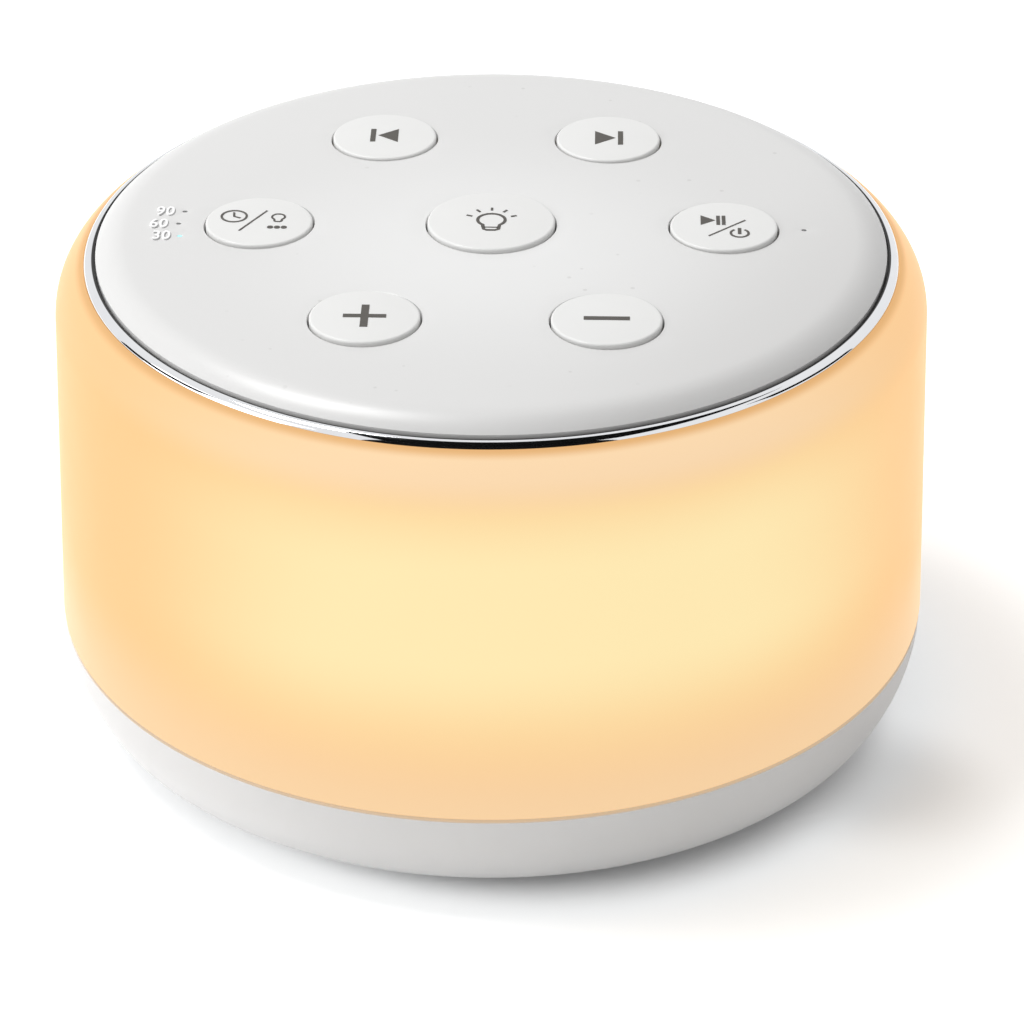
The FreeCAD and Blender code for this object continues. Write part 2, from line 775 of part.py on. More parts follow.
def make_speaker_soft_parts():
    """The foam gasket, the rubber roll round the cone and the folded cloth behind it."""
    revolve(new_body("speaker_gasket"), [
        ("Size.gasket_inner", "Size.core_bottom"),
        ("Size.gasket_outer", "Size.core_bottom"),
        ("Size.gasket_outer", "Size.speaker_seat"),
        ("Size.gasket_inner", "Size.speaker_seat")])

    low = "Size.speaker_seat + Size.surround_rise"
    high = f"{low} + Size.surround_wall"
    flange = "Size.speaker_seat + Size.speaker_flange"
    roll_outer = "Size.surround_roll_radius + Size.surround_wall / 2"
    revolve(new_body("speaker_surround"), [
        ("Size.surround_inner", low),
        ("Size.surround_roll_inner", low, "Size.surround_roll_radius", -1),
        ("Size.surround_roll_outer", low),
        ("Size.surround_roll_outer", flange),
        ("Size.surround_rim", flange),
        ("Size.surround_rim", f"{flange} + Size.surround_wall"),
        ("Size.surround_roll_outer", f"{flange} + Size.surround_wall", roll_outer, 1),
        ("Size.surround_roll_inner", high),
        ("Size.surround_inner", high)])

    top = "Size.plate_bottom - Size.basket_shelf_depth"
    bottom = f"{top} - Size.spider_thickness"
    under = [("Size.spider_inner", bottom)]
    over = [("Size.spider_inner", top)]
    for number, radius in enumerate(SPIDER_FOLDS):
        drop = " - Size.spider_fold" if number % 2 == 0 else ""
        under.append((radius, bottom + drop))
        over.append((radius, top + drop))
    revolve(new_body("speaker_spider"), [
        *under, ("Size.spider_outer", bottom + drop), ("Size.spider_outer", top + drop),
        *reversed(over)])


def make_speaker_motor():
    revolve(new_body("speaker_magnet"), [
        ("Size.magnet_hole_radius", "Size.plate_top"),
        ("Size.magnet_radius", "Size.plate_top"),
        ("Size.magnet_radius", "Size.magnet_top"),
        ("Size.magnet_hole_radius", "Size.magnet_top")])

    rim = "Size.magnet_radius + Size.yoke_lip"
    revolve(new_body("speaker_yoke"), [
        ("0", "Size.plate_bottom"),
        ("Size.pole_radius", "Size.plate_bottom"),
        ("Size.pole_radius", "Size.magnet_top"),
        (rim, "Size.magnet_top"),
        (rim, "Size.yoke_top - Size.yoke_edge"),
        (f"{rim} - Size.yoke_edge", "Size.yoke_top"),
        ("0", "Size.yoke_top")])

    lip = "Size.cone_radius - Size.cone_lip"
    lip_height = "Size.speaker_seat + Size.cone_lip_rise"
    coil_inner = "Size.coil_radius - Size.coil_wall"
    revolve(new_body("speaker_cone"), [
        ("0", "Size.speaker_seat + Size.cone_cap_rise"),
        ("Size.cone_throat", "Size.speaker_seat + Size.cone_throat_rise"),
        (lip, lip_height),
        ("Size.cone_radius", lip_height),
        ("Size.cone_radius", f"{lip_height} + Size.cone_paper"),
        (lip, f"{lip_height} + Size.cone_paper"),
        ("Size.coil_radius", "Size.former_rise"),
        ("Size.coil_radius", "Size.coil_top"),
        (coil_inner, "Size.coil_top"),
        (coil_inner, "Size.former_foot"),
        ("0", "Size.speaker_seat + Size.cone_cap_rise + Size.cone_paper")])


def make_power_inlet():
    body = new_body("power_board")
    thickness = "Size.inlet_board_top - Size.inlet_board_bottom"
    pad(body, rectangle(new_sketch(body, "XY_Plane", height="Size.inlet_board_bottom"),
                        "0", "Size.inlet_board_back",
                        "Size.inlet_board_width", "Size.inlet_board_depth"), thickness)
    sketch = new_sketch(body, "XY_Plane", height="Size.inlet_board_top")
    for side in ("-Size.inlet_post_side", "Size.inlet_post_side"):
        circle(sketch, "Size.inlet_hole_radius", side, "Size.inlet_post_back")
    pocket(body, sketch, f"{thickness} + Size.margin")

    body = new_body("usb_socket")
    middle = "Size.inlet_board_top + Size.usb_height / 2"
    shell = new_sketch(body, "XZ_Plane", height="-Size.usb_mouth")
    pad(body, rounded_bar(shell, "Size.usb_width", "Size.usb_height", middle), "Size.usb_depth")
    cavity = new_sketch(body, "XZ_Plane", height="-(Size.usb_mouth - Size.usb_cavity)")
    pocket(body, rounded_bar(cavity, "Size.usb_width - 2 * Size.usb_wall",
                             "Size.usb_height - 2 * Size.usb_wall", middle),
           "Size.usb_cavity + Size.margin")
    tongue = new_sketch(body, "XZ_Plane", height="-(Size.usb_mouth - Size.usb_tongue_start)")
    pad(body, rectangle(tongue, "0", middle, "Size.usb_tongue_width", "Size.usb_tongue_height"),
        "Size.usb_tongue_length")


# Small parts on the boards. A chip is its middle x and y, then its width, depth and height.

CHIPS = {
    "controller": (-11.0, -7.5, 7.0, 7.0, 1.1),
    "sound_memory": (11.5, -8.0, 5.0, 6.0, 1.0),
    "amplifier": (-11.0, 8.5, 4.0, 5.0, 1.2),
    "capacitor": (12.0, 8.0, 4.2, 4.2, 2.0),
}


def make_board_parts():
    body = new_body("board_chips")
    for x, y, width, depth, height in CHIPS.values():
        pad(body, rectangle(new_sketch(body, "XY_Plane", height="Size.board_top"),
                            str(x), str(y), str(width), str(depth)), str(height))
    body = new_body("board_plugs")
    for route in LEADS.values():
        x, y, _ = route[-1]
        pad(body, rectangle(
            new_sketch(body, "XY_Plane", height="Size.board_bottom - Size.plug_height"),
            str(x), str(y), "Size.plug_width", "Size.plug_depth"), "Size.plug_height")
    body = new_body("indicator_lights")
    for angle in WINDOWS.values():
        pad(body, rectangle(new_sketch(body, "XY_Plane", height="Size.board_top"),
                            *window_spot(angle), "Size.indicator_length", "Size.indicator_width"),
            "Size.indicator_height")
    body = new_body("light_pipes")
    foot = "Size.board_top + Size.indicator_height"
    step = f"{foot} + Size.pipe_foot_height"
    for angle in WINDOWS.values():
        pad(body, rectangle(new_sketch(body, "XY_Plane", height=foot), *window_spot(angle),
                            "Size.pipe_foot_length", "Size.pipe_foot_width"),
            "Size.pipe_foot_height")
        pad(body, rectangle(new_sketch(body, "XY_Plane", height=step), *window_spot(angle),
                            "Size.window_length - Size.pipe_gap",
                            "Size.window_width - Size.pipe_gap"), f"Size.pipe_top - ({step})")


# Leads inside the case, as straight runs joined by round bends

LEADS = {
    "power_lead": [(-5, 31.5, 6.2), (-5, 31.5, 16), (-10, 22, 28), (-9, 17, 38), (-9, 17, 47.5)],
    "speaker_lead": [(0, -14.4, 15.2), (0, -14.4, 24), (8, -18, 32), (10, -22, 40), (10, -22, 47.5)],
    "light_lead": [(-36.05, 0, 37.5), (-27, 0, 37.5), (-24, 5, 41.0), (-24, 5, 47.5)],
}
BEND_SHARE = 0.45


def lead_path(points):
    """Straight runs with tangent arcs, each as large as its two runs allow."""
    spots = [FreeCAD.Vector(*point) for point in points]
    edges = []
    begin = spots[0]
    for before, corner, after in zip(spots, spots[1:], spots[2:]):
        back = before - corner
        ahead = after - corner
        share = BEND_SHARE * min(back.Length, ahead.Length)
        enter = corner + back.normalize() * share
        leave = corner + ahead.normalize() * share
        turn = math.pi - back.getAngle(ahead)
        radius = share / math.tan(turn / 2)
        print(f"bend radius {radius:.1f} mm")
        middle_way = (back + ahead).normalize()
        middle = corner + middle_way * (math.hypot(radius, share) - radius)
        edges.append(Part.LineSegment(begin, enter).toShape())
        edges.append(Part.Arc(enter, middle, leave).toShape())
        begin = leave
    edges.append(Part.LineSegment(begin, spots[-1]).toShape())
    return Part.Wire(edges)


def make_lead(label, points):
    """One lead as a round tube swept along its path."""
    path = lead_path(points)
    start = FreeCAD.Vector(*points[0])
    heading = FreeCAD.Vector(*points[1]) - start
    rim = Part.Wire([Part.Circle(start, heading, size("lead_radius")).toShape()])
    lead = doc.addObject("Part::Feature", label)
    lead.Label = label
    lead.Shape = path.makePipeShell([rim], True, False)
    lead.Placement = FreeCAD.Placement()
    expected = math.pi * size("lead_radius") ** 2 * path.Length
    print(f"{label}: {path.Length:.1f} mm, volume {lead.Shape.Volume / expected:.3f} of its section")
    parts.append(lead)


def make_screws():
    screws("base_screws", circle_radius="Size.lug_circle", head_radius="2.6",
           shaft_radius="1.2", seat="Size.pan_bottom + Size.base_recess_depth",
           head="Size.pan_bottom + Size.base_recess_depth - 1.8", tip="Size.lug_top - 4",
           count="Size.corner_count", turn=45.0)
    screws("speaker_screws", circle_radius="Size.speaker_screw_circle", head_radius="1.6",
           shaft_radius="0.75", seat="Size.speaker_seat + Size.speaker_flange",
           head="Size.speaker_seat + Size.speaker_flange + 1.2", tip="Size.pan_bottom + 1",
           count="Size.corner_count", turn=0.0)
    screws("board_screws", circle_radius="Size.boss_circle", head_radius="2.0",
           shaft_radius="0.9", seat="Size.board_top", head="Size.board_top + 1.3",
           tip="Size.deck_top + 0.5", count="Size.post_count", turn=-90.0)
    screws("cover_screws", circle_radius="Size.post_circle", head_radius="2.2",
           shaft_radius="0.95", seat="Size.deck_bottom", head="Size.deck_bottom - 1.4",
           tip="Size.deck_top + Size.post_pilot_depth - 1", count="Size.post_count", turn=90.0)


make_pan()
make_feet()
make_diffuser()
make_ring()
make_lid()
for name, angle in KEY_ANGLES.items():
    make_key(name, "Size.key_radius", "Size.key_top", "Size.key_circle", angle)
    make_plunger(name, "Size.key_circle", angle)
make_key("light", "Size.light_key_radius", "Size.light_key_top", "0", 0.0)
make_plunger("light", "0", 0.0)
make_switches()
make_main_board()
make_core()
make_strip()
make_speaker_frame()
make_speaker_soft_parts()
make_speaker_motor()
make_power_inlet()
make_board_parts()
make_screws()
for label, points in LEADS.items():
    make_lead(label, points)

doc.recompute()

failed = [item.Label for item in doc.Objects if {"Invalid", "Error"} & set(item.State)]
if failed:
    raise ValueError(f"objects that failed: {failed}")
for part in parts:
    if part.Shape.isNull() or not part.Shape.isValid():
        raise ValueError(f"{part.Label} has no sound shape")

os.makedirs("parts", exist_ok=True)
for part in parts:
    part.Shape.exportStep(f"parts/{part.Label}.step")
    box = part.Shape.BoundBox
    print(f"{part.Label}: {len(part.Shape.Solids)} solids, {part.Shape.Volume:.0f} mm3, "
          f"z {box.ZMin:.2f} to {box.ZMax:.2f}")
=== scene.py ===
# %% [markdown]
# # A bedside sound machine that glows
#
# The real object is a low round case: a shallow white foot pan, a clear milky wall lit warm from
# inside, a thin bright ring, and a domed lid with six small keys round one larger light key.
# This script dresses the imported model. The model gives every sub-part at its real size, so
# each piece made here only has to stand where its sub-part stands.

import math

import bmesh
import bpy
from mathutils import Matrix, Vector
from mathutils.geometry import delaunay_2d_cdt


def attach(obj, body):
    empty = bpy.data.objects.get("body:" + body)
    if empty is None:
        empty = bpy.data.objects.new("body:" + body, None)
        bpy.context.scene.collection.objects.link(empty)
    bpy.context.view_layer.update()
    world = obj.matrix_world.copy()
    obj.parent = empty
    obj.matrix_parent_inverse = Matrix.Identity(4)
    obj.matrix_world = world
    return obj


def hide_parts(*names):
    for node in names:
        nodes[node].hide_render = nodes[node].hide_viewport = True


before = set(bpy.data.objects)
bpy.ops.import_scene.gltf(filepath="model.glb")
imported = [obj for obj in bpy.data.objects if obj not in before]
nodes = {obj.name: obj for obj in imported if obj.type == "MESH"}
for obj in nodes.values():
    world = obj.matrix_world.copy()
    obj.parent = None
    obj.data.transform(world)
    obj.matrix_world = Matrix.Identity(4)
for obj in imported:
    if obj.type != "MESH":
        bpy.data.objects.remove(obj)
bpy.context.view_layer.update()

# %% [markdown]
# ## Sizes
#
# The pieces that show most are made again here with more steps round the circle and with soft
# moulded edges. They repeat the few driving sizes of the model, in millimetres, and the factor MM
# turns them into Blender's metres.

# %% Driving sizes in millimetres
SEAM_HEIGHT = 12.2
SEAM_GAP = 0.4
CASE_RADIUS = 50.45
CASE_TOP_RADIUS = 49.43
CASE_WALL = 2.2
SHOULDER_HEIGHT = 49.9
SHOULDER_RADIUS = 7.5
RING_RADIUS = 46.0
RING_OUTER_HEIGHT = 56.17
RING_INNER_HEIGHT = 56.75
RING_SEAT = 55.2
RING_INNER_RADIUS = 42.75
LID_RADIUS = 44.6
LID_LIP = 55.9
LID_EDGE_HEIGHT = 57.1
DOME_RADIUS = 41.2
DOME_FOOT = 58.68
DOME_TOP = 59.35
LID_WALL = 2.0
MM = 0.001


def polar(radius, degrees):
    """A spot on a circle about the middle axis."""
    angle = math.radians(degrees)
    return radius * math.cos(angle), radius * math.sin(angle)


print("case is", 2 * CASE_RADIUS, "mm across and its lid", 2 * LID_RADIUS, "mm")

# %% [markdown]
# ## Camera
#
# A product photo like this is taken from in front and about thirty degrees above, with a long
# lens, so that the round case keeps its upright sides. The place and the heading come from
# matching the outlines, and the camera is aimed by turning it, with no shift of the lens.

# %% Camera
CAMERA_PLACE = Vector((12.14, -429.72, 273.57)) * MM
CAMERA_HEADING = Vector((-0.01967, 0.86260, -0.50550))
LENS = 149.45
SENSOR = 36.0
NEAREST = 10.0

camera_data = bpy.data.cameras.new("camera")
camera_data.lens = LENS
camera_data.sensor_width = SENSOR
camera_data.clip_start = NEAREST * MM
camera = bpy.data.objects.new("camera", camera_data)
camera.location = CAMERA_PLACE
camera.rotation_mode = "QUATERNION"
camera.rotation_quaternion = CAMERA_HEADING.to_track_quat("-Z", "Y")
bpy.context.scene.collection.objects.link(camera)
bpy.context.scene.camera = camera
bpy.context.scene.view_settings.view_transform = "Standard"
print("camera looks down by", round(math.degrees(math.asin(-CAMERA_HEADING.z)), 1), "degrees")

# %% [markdown]
# ## Shader maths as Python
#
# A finish is worked out from a few measured fields, such as the height up the wall or a grain.
# Written as nodes by hand that becomes unreadable, so one small class wraps a socket and lets
# Python's own operators add the Math nodes. Colours go through Mix nodes, never through Math.


# %% A socket that can be used in sums
class Field:
    """A number or a colour that varies, held as an output socket."""

    def __init__(self, owner, socket):
        self.owner = owner
        self.socket = socket

    def maths(self, operation, *values):
        return self.owner.node(
            "ShaderNodeMath", {"operation": operation}, dict(enumerate(values)))

    def __add__(self, other):
        return self.maths("ADD", self, other)

    def __sub__(self, other):
        return self.maths("SUBTRACT", self, other)

    def __mul__(self, other):
        return self.maths("MULTIPLY", self, other)

    def __truediv__(self, other):
        return self.maths("DIVIDE", self, other)

    def __pow__(self, other):
        return self.maths("POWER", self, other)

    def __radd__(self, other):
        return self.maths("ADD", other, self)

    def __rsub__(self, other):
        return self.maths("SUBTRACT", other, self)

    def __rmul__(self, other):
        return self.maths("MULTIPLY", other, self)

    def __rtruediv__(self, other):
        return self.maths("DIVIDE", other, self)

    def largest(self, other):
        return self.maths("MAXIMUM", self, other)

    def clamped(self):
        return self.maths("MINIMUM", self.largest(0.0), 1.0)

    def rises(self, low, high):
        """A smooth step from 0 at low to 1 at high."""
        settings = {"interpolation_type": "SMOOTHSTEP"}
        return self.owner.node("ShaderNodeMapRange", settings, {
            "Value": self, "From Min": low, "From Max": high})


print("sums of sockets: + - * / ** with numbers on either side")


# %% A tree that adds any node
class Nodes:
    """A node tree that is filled by one method."""

    def __init__(self, tree):
        self.tree = tree

    def node(self, kind, settings, values, output=0):
        """Add a node, set its own settings first, then give its sockets values or links."""
        made = self.tree.nodes.new(kind)
        for name, value in settings.items():
            setattr(made, name, value)
        for socket, value in values.items():
            if isinstance(value, Field):
                self.tree.links.new(value.socket, made.inputs[socket])
            else:
                made.inputs[socket].default_value = value
        return Field(self, made.outputs[output]) if made.outputs else None

    def showing(self):
        """1 for rays that show a background: seen directly, mirrored or through something clear."""
        camera_ray, glossy_ray, clear_ray = [
            self.node("ShaderNodeLightPath", {}, {}, output)
            for output in ("Is Camera Ray", "Is Glossy Ray", "Is Transmission Ray")]
        return camera_ray.largest(glossy_ray).largest(clear_ray)


print("a tree takes any node through one method")


# %% A finish that builds its own nodes
METRE = 1000.0
NOISE_ROUGHNESS = 0.55


class Finish(Nodes):
    """One material, with short ways to the fields that most finishes need."""

    def __init__(self, name, colour, roughness, metallic=0.0):
        self.material = bpy.data.materials.new(name)
        self.material.use_nodes = True
        super().__init__(self.material.node_tree)
        self.shader = self.tree.nodes["Principled BSDF"]
        self.set("Base Color", (*colour, 1.0))
        self.set("Roughness", roughness)
        self.set("Metallic", metallic)

    def set(self, socket, value):
        """Give the shader's own socket a constant or a field."""
        if isinstance(value, Field):
            self.tree.links.new(value.socket, self.shader.inputs[socket])
        else:
            self.shader.inputs[socket].default_value = value

    def place(self):
        """Where on the piece we are, in millimetres."""
        spot = self.node("ShaderNodeTexCoord", {}, {}, "Object")
        return self.node("ShaderNodeVectorMath", {"operation": "SCALE"}, {0: spot, "Scale": METRE})

    def parts(self, vector):
        """The x, y and z of a vector as three fields."""
        split = self.tree.nodes.new("ShaderNodeSeparateXYZ")
        self.tree.links.new(vector.socket, split.inputs[0])
        return [Field(self, output) for output in split.outputs]

    def noise(self, size, detail, stretch=None):
        """Cloudy noise from 0 to 1 whose lumps are about size millimetres across."""
        place = self.place()
        if stretch:
            place = self.node(
                "ShaderNodeVectorMath", {"operation": "MULTIPLY"}, {0: place, 1: stretch})
        return self.node("ShaderNodeTexNoise", {}, {
            "Vector": place, "Scale": 1.0 / size, "Detail": detail,
            "Roughness": NOISE_ROUGHNESS})

    def specks(self, size, share):
        """1 inside small scattered dots and 0 between them."""
        away = self.node("ShaderNodeTexVoronoi", {}, {
            "Vector": self.place(), "Scale": 1.0 / size}, "Distance")
        return 1.0 - away.rises(share * 0.5, share)

    def mix(self, factor, first, second):
        """Blend two colours by a field."""
        both = {0: factor}
        for socket, colour in ((6, first), (7, second)):
            both[socket] = colour if isinstance(colour, Field) else (*colour, 1.0)
        return self.node("ShaderNodeMix", {"data_type": "RGBA"}, both, 2)

    def bump(self, height, strength, depth):
        """Tilt the surface by a height field, with its depth in millimetres."""
        self.set("Normal", self.node("ShaderNodeBump", {}, {
            "Height": height, "Strength": strength, "Distance": depth * MM}))


def shade(colour, factor):
    """A colour made lighter or darker."""
    return tuple(min(1.0, part * factor) for part in colour)


def distance(across, along):
    """How far a spot lies from where both fields are 0."""
    return (across * across + along * along) ** 0.5


print("finishes can use place, noise, specks, mix and bump")

# %% [markdown]
# ## Moulded plastic
#
# Most of this object is moulded plastic. Real mouldings are never one flat value: the tool leaves
# a very fine spark texture, the tone drifts a little over the piece, and handling polishes it in
# cloudy patches. One recipe carries all three, and each part chooses its own amounts.


# %% Plastic recipe
PLASTIC_TONES = (0.965, 1.025)
POLISH_SIZE = 0.35
POLISH_LEAST = 0.86
POLISH_SWING = 0.28
GRAIN_DEPTH = 0.02
METAL_TONES = (0.85, 1.08)
MARK_SIZE = 0.3
MARK_LEAST = 0.75
MARK_SWING = 0.5
MARK_STRENGTH = 0.1
MARK_DEPTH = 0.01


def plastic(name, colour, roughness, grain, drift, bump, specular=0.5):
    """Satin moulded plastic: drift in tone and cloudy polish, and a grain, sized in millimetres."""
    finish = Finish(name, colour, roughness)
    darker, lighter = [shade(colour, tone) for tone in PLASTIC_TONES]
    finish.set("Base Color", finish.mix(finish.noise(drift, 3.0), darker, lighter))
    cloudy = finish.noise(drift * POLISH_SIZE, 4.0)
    finish.set("Roughness", roughness * POLISH_LEAST + cloudy * (roughness * POLISH_SWING))
    finish.set("Specular IOR Level", specular)
    finish.bump(finish.noise(grain, 2.0), bump, GRAIN_DEPTH)
    return finish


def metal(name, colour, roughness, brush=(1.0, 1.0, 1.0)):
    """Plain or plated metal with fine marks drawn out along one way."""
    finish = Finish(name, colour, roughness, 1.0)
    marks = finish.noise(MARK_SIZE, 4.0, brush)
    darker, lighter = [shade(colour, tone) for tone in METAL_TONES]
    finish.set("Base Color", finish.mix(marks, darker, lighter))
    finish.set("Roughness", roughness * MARK_LEAST + marks * (roughness * MARK_SWING))
    finish.bump(marks, MARK_STRENGTH, MARK_DEPTH)
    return finish


print("recipes ready: plastic, metal")

# %% [markdown]
# ## Turned pieces
#
# Nearly every part here is round, so its shape is an outline of radius and height spun about an
# axis. An outline corner can carry an easing size, which rounds it as a mould or a tool would:
# sharp corners look false because no light ever catches on them.


# %% Outlines
EASE_LIMIT = 0.48


def arc(start, end, bulge, steps):
    """Points of a curve from start to end whose middle stands off the straight line by bulge."""
    (x0, y0), (x1, y1) = start, end
    span = math.hypot(x1 - x0, y1 - y0)
    radius = (span ** 2 / 4 + bulge ** 2) / (2 * abs(bulge))
    turn = 2 * math.asin(min(1.0, span / 2 / radius))
    side = 1 if bulge > 0 else -1
    along = ((x1 - x0) / span, (y1 - y0) / span)
    across = (along[1] * side, -along[0] * side)
    sink = radius - abs(bulge)
    centre = ((x0 + x1) / 2 - across[0] * sink, (y0 + y1) / 2 - across[1] * sink)
    points = []
    for step in range(steps + 1):
        angle = turn * (step / steps - 0.5)
        out = radius * math.cos(angle)
        way = radius * math.sin(angle)
        points.append((centre[0] + across[0] * out + along[0] * way,
                       centre[1] + across[1] * out + along[1] * way))
    return points


def eased(corners, steps=4):
    """Round each (x, y, easing) corner with a small curve; corners with no easing stay sharp."""
    points = []
    count = len(corners)
    for index, corner in enumerate(corners):
        if len(corner) == 2:
            points.append(tuple(corner))
            continue
        here = Vector(corner[:2])
        ends = []
        for other in (corners[index - 1], corners[(index + 1) % count]):
            away = Vector(other[:2]) - here
            ends.append(here + away.normalized() * min(corner[2], away.length * EASE_LIMIT))
        for step in range(steps + 1):
            t = step / steps
            spot = ends[0] * (1 - t) ** 2 + here * (2 * t * (1 - t)) + ends[1] * t ** 2
            points.append((spot.x, spot.y))
    return points


print("outlines can have arcs and eased corners")


# %% Meshes
SHARP_ANGLE = 32.0
WELD = 1e-7
ON_AXIS = 1e-6


def add_piece(name, mesh, finish):
    """Make an object of a mesh, smooth it up to its sharp edges and give it its finish."""
    mesh.shade_smooth()
    mesh.set_sharp_from_angle(angle=math.radians(SHARP_ANGLE))
    piece = bpy.data.objects.new(name, mesh)
    bpy.context.scene.collection.objects.link(piece)
    mesh.materials.append(finish.material)
    return piece


def mesh_from(name, build):
    """A mesh that a function fills through bmesh, with its faces turned outwards."""
    work = bmesh.new()
    build(work)
    bmesh.ops.remove_doubles(work, verts=work.verts, dist=WELD)
    bmesh.ops.recalc_face_normals(work, faces=work.faces)
    mesh = bpy.data.meshes.new(name)
    work.to_mesh(mesh)
    work.free()
    return mesh


def spin(work, outline, steps, centre):
    """Spin a closed outline of (radius, height) in millimetres about an upright axis."""
    rings = []
    for radius, height in outline:
        if radius < ON_AXIS:
            rings.append([work.verts.new((centre[0] * MM, centre[1] * MM, height * MM))])
            continue
        ring = []
        for step in range(steps):
            x, y = polar(radius, 360.0 * step / steps)
            ring.append(work.verts.new(((x + centre[0]) * MM, (y + centre[1]) * MM, height * MM)))
        rings.append(ring)
    for first, second in zip(rings, rings[1:] + rings[:1]):
        if len(first) == 1 and len(second) == 1:
            continue
        for step in range(steps):
            after = (step + 1) % steps
            if len(first) == 1:
                work.faces.new((first[0], second[step], second[after]))
            elif len(second) == 1:
                work.faces.new((first[step], second[0], first[after]))
            else:
                work.faces.new((first[step], second[step], second[after], first[after]))


def turned(name, outline, finish, steps, centre=(0.0, 0.0)):
    """A round piece from an outline."""
    mesh = mesh_from(name, lambda work: spin(work, outline, steps, centre))
    return add_piece(name, mesh, finish)


print("turned pieces stand on their own axis")

# %% [markdown]
# ## The glowing wall
#
# The wall is a cloudy clear plastic. Lights inside the case shine on the white core, and the wall
# spreads that into a warm glow: pale yellow where the most light lands and deeper orange to the
# sides. Towards the ring the glow is darkened as painted shade, and the shoulder on top gets a pale
# painted highlight where room light would catch it. Following real light through the plastic would
# be slow and would leave nothing in an exported model, so the glow, the shade and the highlight are
# all painted into the emission colour by the height and the way round the case.

# %% Glow
GLOW_EDGE = (0.85, 0.497, 0.216)
GLOW_HOT = (0.885, 0.735, 0.405)
GLOW_LOW = (0.81, 0.572, 0.345)
# painted highlight on the shoulder and painted shade under the ring, as emission colours
PAINTED_SHOULDER_HIGHLIGHT = (0.84, 0.61, 0.385)
PAINTED_RING_SHADE = (0.66, 0.36, 0.140)
GLOW_TURN = 9.0
LOW_TINT = 0.85
LOW_TINT_FADES = (13.0, 27.0)
BAND_RISES = (15.0, 33.0)
BAND_FADES = (42.0, 60.0)
SHOULDER_HIGHLIGHT_RISES = (49.5, 54.0)
SHOULDER_HIGHLIGHT_SIDE = 0.25
RING_SHADE_RISES = (55.3, 56.1)
FRONT_RISES = (0.10, 0.88)
CLOUD_SIZE = 24.0
CLOUD_SWING = 0.10
WALL_BASE = (0.17, 0.125, 0.07)
WALL_SPECULAR = 0.04
WALL_GRAIN = 0.35
WALL_BUMP = 0.05
SMUDGE_SIZE = 7.0
SMUDGE_LEAST = 0.33
SMUDGE_SWING = 0.1


def glowing_wall():
    """Milky plastic lit from inside, brightest in the middle of the front and of the back, with a
    painted highlight on the shoulder and painted shade under the ring.
    """
    finish = Finish("wall_glow", WALL_BASE, 0.38)
    x, y, z = finish.parts(finish.place())
    turn = math.radians(GLOW_TURN)
    facing = (x * math.sin(turn) - y * math.cos(turn)) / CASE_TOP_RADIUS
    front = (facing * facing).rises(*FRONT_RISES)
    band = z.rises(*BAND_RISES) * (1.0 - z.rises(*BAND_FADES))
    cloud = (finish.noise(CLOUD_SIZE, 1.0) - 0.5) * CLOUD_SWING
    colour = finish.mix((1.0 - z.rises(*LOW_TINT_FADES)) * LOW_TINT, GLOW_EDGE, GLOW_LOW)
    colour = finish.mix((front * band + cloud * front).clamped(), colour, GLOW_HOT)
    # painted highlight on the shoulder, strongest at the front and the back
    shoulder_highlight = SHOULDER_HIGHLIGHT_SIDE + front * (1.0 - SHOULDER_HIGHLIGHT_SIDE)
    colour = finish.mix(z.rises(*SHOULDER_HIGHLIGHT_RISES) * shoulder_highlight, colour, PAINTED_SHOULDER_HIGHLIGHT)
    # painted shade just under the ring
    colour = finish.mix(z.rises(*RING_SHADE_RISES), colour, PAINTED_RING_SHADE)
    finish.set("Emission Color", colour)
    finish.set("Emission Strength", 1.0)
    finish.bump(finish.noise(WALL_GRAIN, 2.0), WALL_BUMP, GRAIN_DEPTH)
    finish.set("Roughness", SMUDGE_LEAST + finish.noise(SMUDGE_SIZE, 3.0) * SMUDGE_SWING)
    finish.set("Specular IOR Level", WALL_SPECULAR)
    return finish


print("the glow is turned", GLOW_TURN, "degrees from the front")

# %% Wall
ROUND_STEPS = 256
SEAT_RADIUS = RING_RADIUS + 0.05
SEAT_DEPTH = 1.8
FOOT_EASE = 0.3
SHOULDER_STEPS = 14
shoulder_middle = CASE_TOP_RADIUS - SHOULDER_RADIUS
top_angle = math.acos((SEAT_RADIUS - shoulder_middle) / SHOULDER_RADIUS)


def shoulder(radius):
    """The rounded shoulder as points, for the outer or the inner skin."""
    points = []
    for step in range(SHOULDER_STEPS + 1):
        angle = top_angle * step / SHOULDER_STEPS
        points.append((shoulder_middle + radius * math.cos(angle),
                       SHOULDER_HEIGHT + radius * math.sin(angle)))
    return points


wall_low = SEAM_HEIGHT + SEAM_GAP
wall_outline = eased([(CASE_RADIUS - CASE_WALL, wall_low), (CASE_RADIUS, wall_low, FOOT_EASE),
                      (CASE_TOP_RADIUS, SHOULDER_HEIGHT)])[:-1]
wall_outline += shoulder(SHOULDER_RADIUS)
wall_outline += [(SEAT_RADIUS, RING_SEAT), (RING_INNER_RADIUS, RING_SEAT),
                 (RING_INNER_RADIUS, RING_SEAT - SEAT_DEPTH)]
wall_outline += list(reversed(shoulder(SHOULDER_RADIUS - CASE_WALL)))[1:]
diffuser = turned("glow_wall", wall_outline, glowing_wall(), ROUND_STEPS)
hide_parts("diffuser")
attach(diffuser, "housing")
print("wall outline has", len(wall_outline), "points")

# %% [markdown]
# ## The bright ring
#
# A thin plated ring hides the joint of lid and wall. It is a rounded bead on a short flat side,
# and it mirrors the studio, so most of its look comes from what stands round it. The finish adds
# a faint haze and shallow ripples, because real plating is never a perfect mirror, and a line of
# painted shade along the joint beside the lid.


